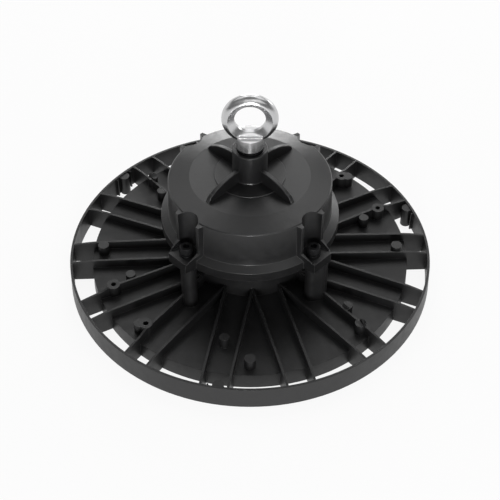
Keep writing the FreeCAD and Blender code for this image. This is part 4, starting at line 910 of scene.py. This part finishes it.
class HIGHBAY_OT_led_windows(bpy.types.Operator):
    """Set a phosphor window in each LED package"""
    bl_idname = "highbay.led_windows"
    bl_label = "Add LED Windows"

    def execute(self, context):
        trim = context.scene.high_bay_trim
        plastics = context.scene.high_bay_plastics
        packages = solids_of("led_packages")
        if not packages:
            raise RuntimeError("there are no LED packages")
        mesh = bmesh.new()
        sides, crown_share = 20, 0.8
        for low, high in packages:
            centre = (low + high) / 2
            foot = low.z + trim.window_height
            rings = [ring_points(mesh, [trim.window_radius * part] * sides, height, centre)
                     for part, height in ((1, foot), (1, low.z - trim.window_height / 2),
                                          (crown_share, low.z - trim.window_height))]
            join_rings(mesh, rings)
            mesh.faces.new(rings[0])
            mesh.faces.new(rings[-1])
        finish = moulded("phosphor_silicone", tuple(plastics.phosphor_colour), 0.18, 0.0001,
                         0.000004, 0.00005)
        finish.set(subsurface_weight=0.1, subsurface_scale=0.0005)
        new_piece("led_windows", mesh, finish)
        return {"FINISHED"}


class HIGHBAY_OT_driver(bpy.types.Operator):
    """Finish the driver's boards, windings and wiring"""
    bl_idname = "highbay.driver"
    bl_label = "Finish the Driver"

    def execute(self, context):
        plastics = context.scene.high_bay_plastics
        metals = context.scene.high_bay_metals
        put_on(sheet_metal("mill_sheet", tuple(metals.sheet_colour)), "base_plate")
        put_on(moulded("insulating_film", tuple(plastics.film_colour), 0.4), "insulating_sheet")
        self.finish_board(plastics)
        self.finish_windings(plastics)
        can = moulded("capacitor_sleeve", tuple(plastics.sleeve_colour), 0.25)
        top = can.spread(can.axis("Z"), 0, 1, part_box("capacitors")[1][2] - 0.0006,
                         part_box("capacitors")[1][2] - 0.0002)
        can.tint(top, metals.sheet_colour)
        put_on(can, "capacitors")
        put_on(moulded("terminal_nylon", tuple(plastics.terminal_colour), 0.45),
               "mains_terminal")
        put_on(moulded("lead_insulation", tuple(plastics.lead_colour), 0.35), "output_leads")
        return {"FINISHED"}

    def finish_board(self, plastics):
        """Green mask over copper tracks."""
        board = Finish("green_solder_mask").rounded(0.0002)
        board.mottle(tuple(plastics.board_colour), 0.1, 0.01)
        board.rough(0.3, 0.05, 0.005)
        track_spacing, track_shade, wander = 0.003, 1.8, 0.02
        place = board.math("ADD", board.axis("X"),
                           board.math("MULTIPLY", board.noise(wander, 0), wander))
        tracks = board.ripples(place, track_spacing)
        board.tint(board.spread(tracks, 0, 1, 0.45, 0.55),
                   [part * track_shade for part in plastics.board_colour])
        board.bump(board.spread(tracks, 0, 1, 0.45, 0.55), 0.00004)
        put_on(board, "driver_board")

    def finish_windings(self, plastics):
        """Ferrite with a taped winding, and a ring wound with copper wire."""
        low, high = (Vector(corner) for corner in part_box("transformer"))
        core = moulded("ferrite_and_tape", tuple(plastics.ferrite_colour), 0.55)
        aside = core.math("ABSOLUTE", core.math("SUBTRACT", core.axis("Y"), (low.y + high.y) / 2))
        tape_edge = (0.0064, 0.0066)
        core.tint(core.spread(aside, 0, 1, *tape_edge), plastics.tape_colour)
        put_on(core, "transformer")
        low, high = (Vector(corner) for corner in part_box("filter_choke"))
        middle = (low + high) / 2
        choke = moulded("enamelled_copper", tuple(plastics.copper_colour), 0.25)
        turn = choke.math("ARCTAN2", choke.math("SUBTRACT", choke.axis("Y"), middle.y),
                          choke.math("SUBTRACT", choke.axis("X"), middle.x))
        wire_turns, groove_painted_shade = 36, (0.05, 0.015, 0.005)
        turns = choke.ripples(turn, 2 * math.pi / wire_turns)
        # Painted shade: the grooves between the wire's turns are painted darker.
        choke.tint(choke.spread(turns, 0.7, 0, 0, 0.4), groove_painted_shade)
        choke.bump(turns, 0.0004)
        put_on(choke, "filter_choke")


# Panel ------------------------------------------------------------------------------------

class HIGHBAY_PT_panel(bpy.types.Panel):
    """The light's finishes, small pieces and stage"""
    bl_idname = "HIGHBAY_PT_panel"
    bl_label = "High Bay Light"
    bl_space_type = "VIEW_3D"
    bl_region_type = "UI"
    bl_category = "High Bay"

    def draw(self, context):
        for group, operators in STEPS:
            column = self.layout.box().column()
            settings = getattr(context.scene, group)
            for name in settings.__annotations__:
                column.prop(settings, name)
            for operator in operators:
                column.operator(operator.bl_idname)


GROUPS = {
    "high_bay_stage": HighBayStage,
    "high_bay_coating": HighBayCoating,
    "high_bay_metals": HighBayMetals,
    "high_bay_plastics": HighBayPlastics,
    "high_bay_trim": HighBayTrim,
}
STEPS = (
    ("high_bay_stage", (HIGHBAY_OT_stage,)),
    ("high_bay_coating", (HIGHBAY_OT_castings,)),
    ("high_bay_metals", (HIGHBAY_OT_lifting_eye, HIGHBAY_OT_fasteners)),
    ("high_bay_plastics", (HIGHBAY_OT_gland, HIGHBAY_OT_lens, HIGHBAY_OT_led_board,
                           HIGHBAY_OT_driver)),
    ("high_bay_trim", (HIGHBAY_OT_fin_tops, HIGHBAY_OT_dome_ribs, HIGHBAY_OT_dome_step,
                       HIGHBAY_OT_screw_knurls, HIGHBAY_OT_led_windows)),
)


def register():
    for group in GROUPS.values():
        bpy.utils.register_class(group)
    for name, group in GROUPS.items():
        setattr(bpy.types.Scene, name, PointerProperty(type=group))
    for _, operators in STEPS:
        for operator in operators:
            bpy.utils.register_class(operator)
    bpy.utils.register_class(HIGHBAY_PT_panel)


def unregister():
    bpy.utils.unregister_class(HIGHBAY_PT_panel)
    for _, operators in reversed(STEPS):
        for operator in reversed(operators):
            bpy.utils.unregister_class(operator)
    for name, group in reversed(GROUPS.items()):
        delattr(bpy.types.Scene, name)
        bpy.utils.unregister_class(group)


def main():
    register()
    bpy.ops.highbay.stage()
    bpy.ops.highbay.castings()
    bpy.ops.highbay.lifting_eye()
    bpy.ops.highbay.fasteners()
    bpy.ops.highbay.gland()
    bpy.ops.highbay.lens()
    bpy.ops.highbay.led_board()
    bpy.ops.highbay.driver()
    bpy.ops.highbay.fin_tops()
    bpy.ops.highbay.dome_ribs()
    bpy.ops.highbay.dome_step()
    bpy.ops.highbay.screw_knurls()
    bpy.ops.highbay.led_windows()


if __name__ == "__main__":
    main()
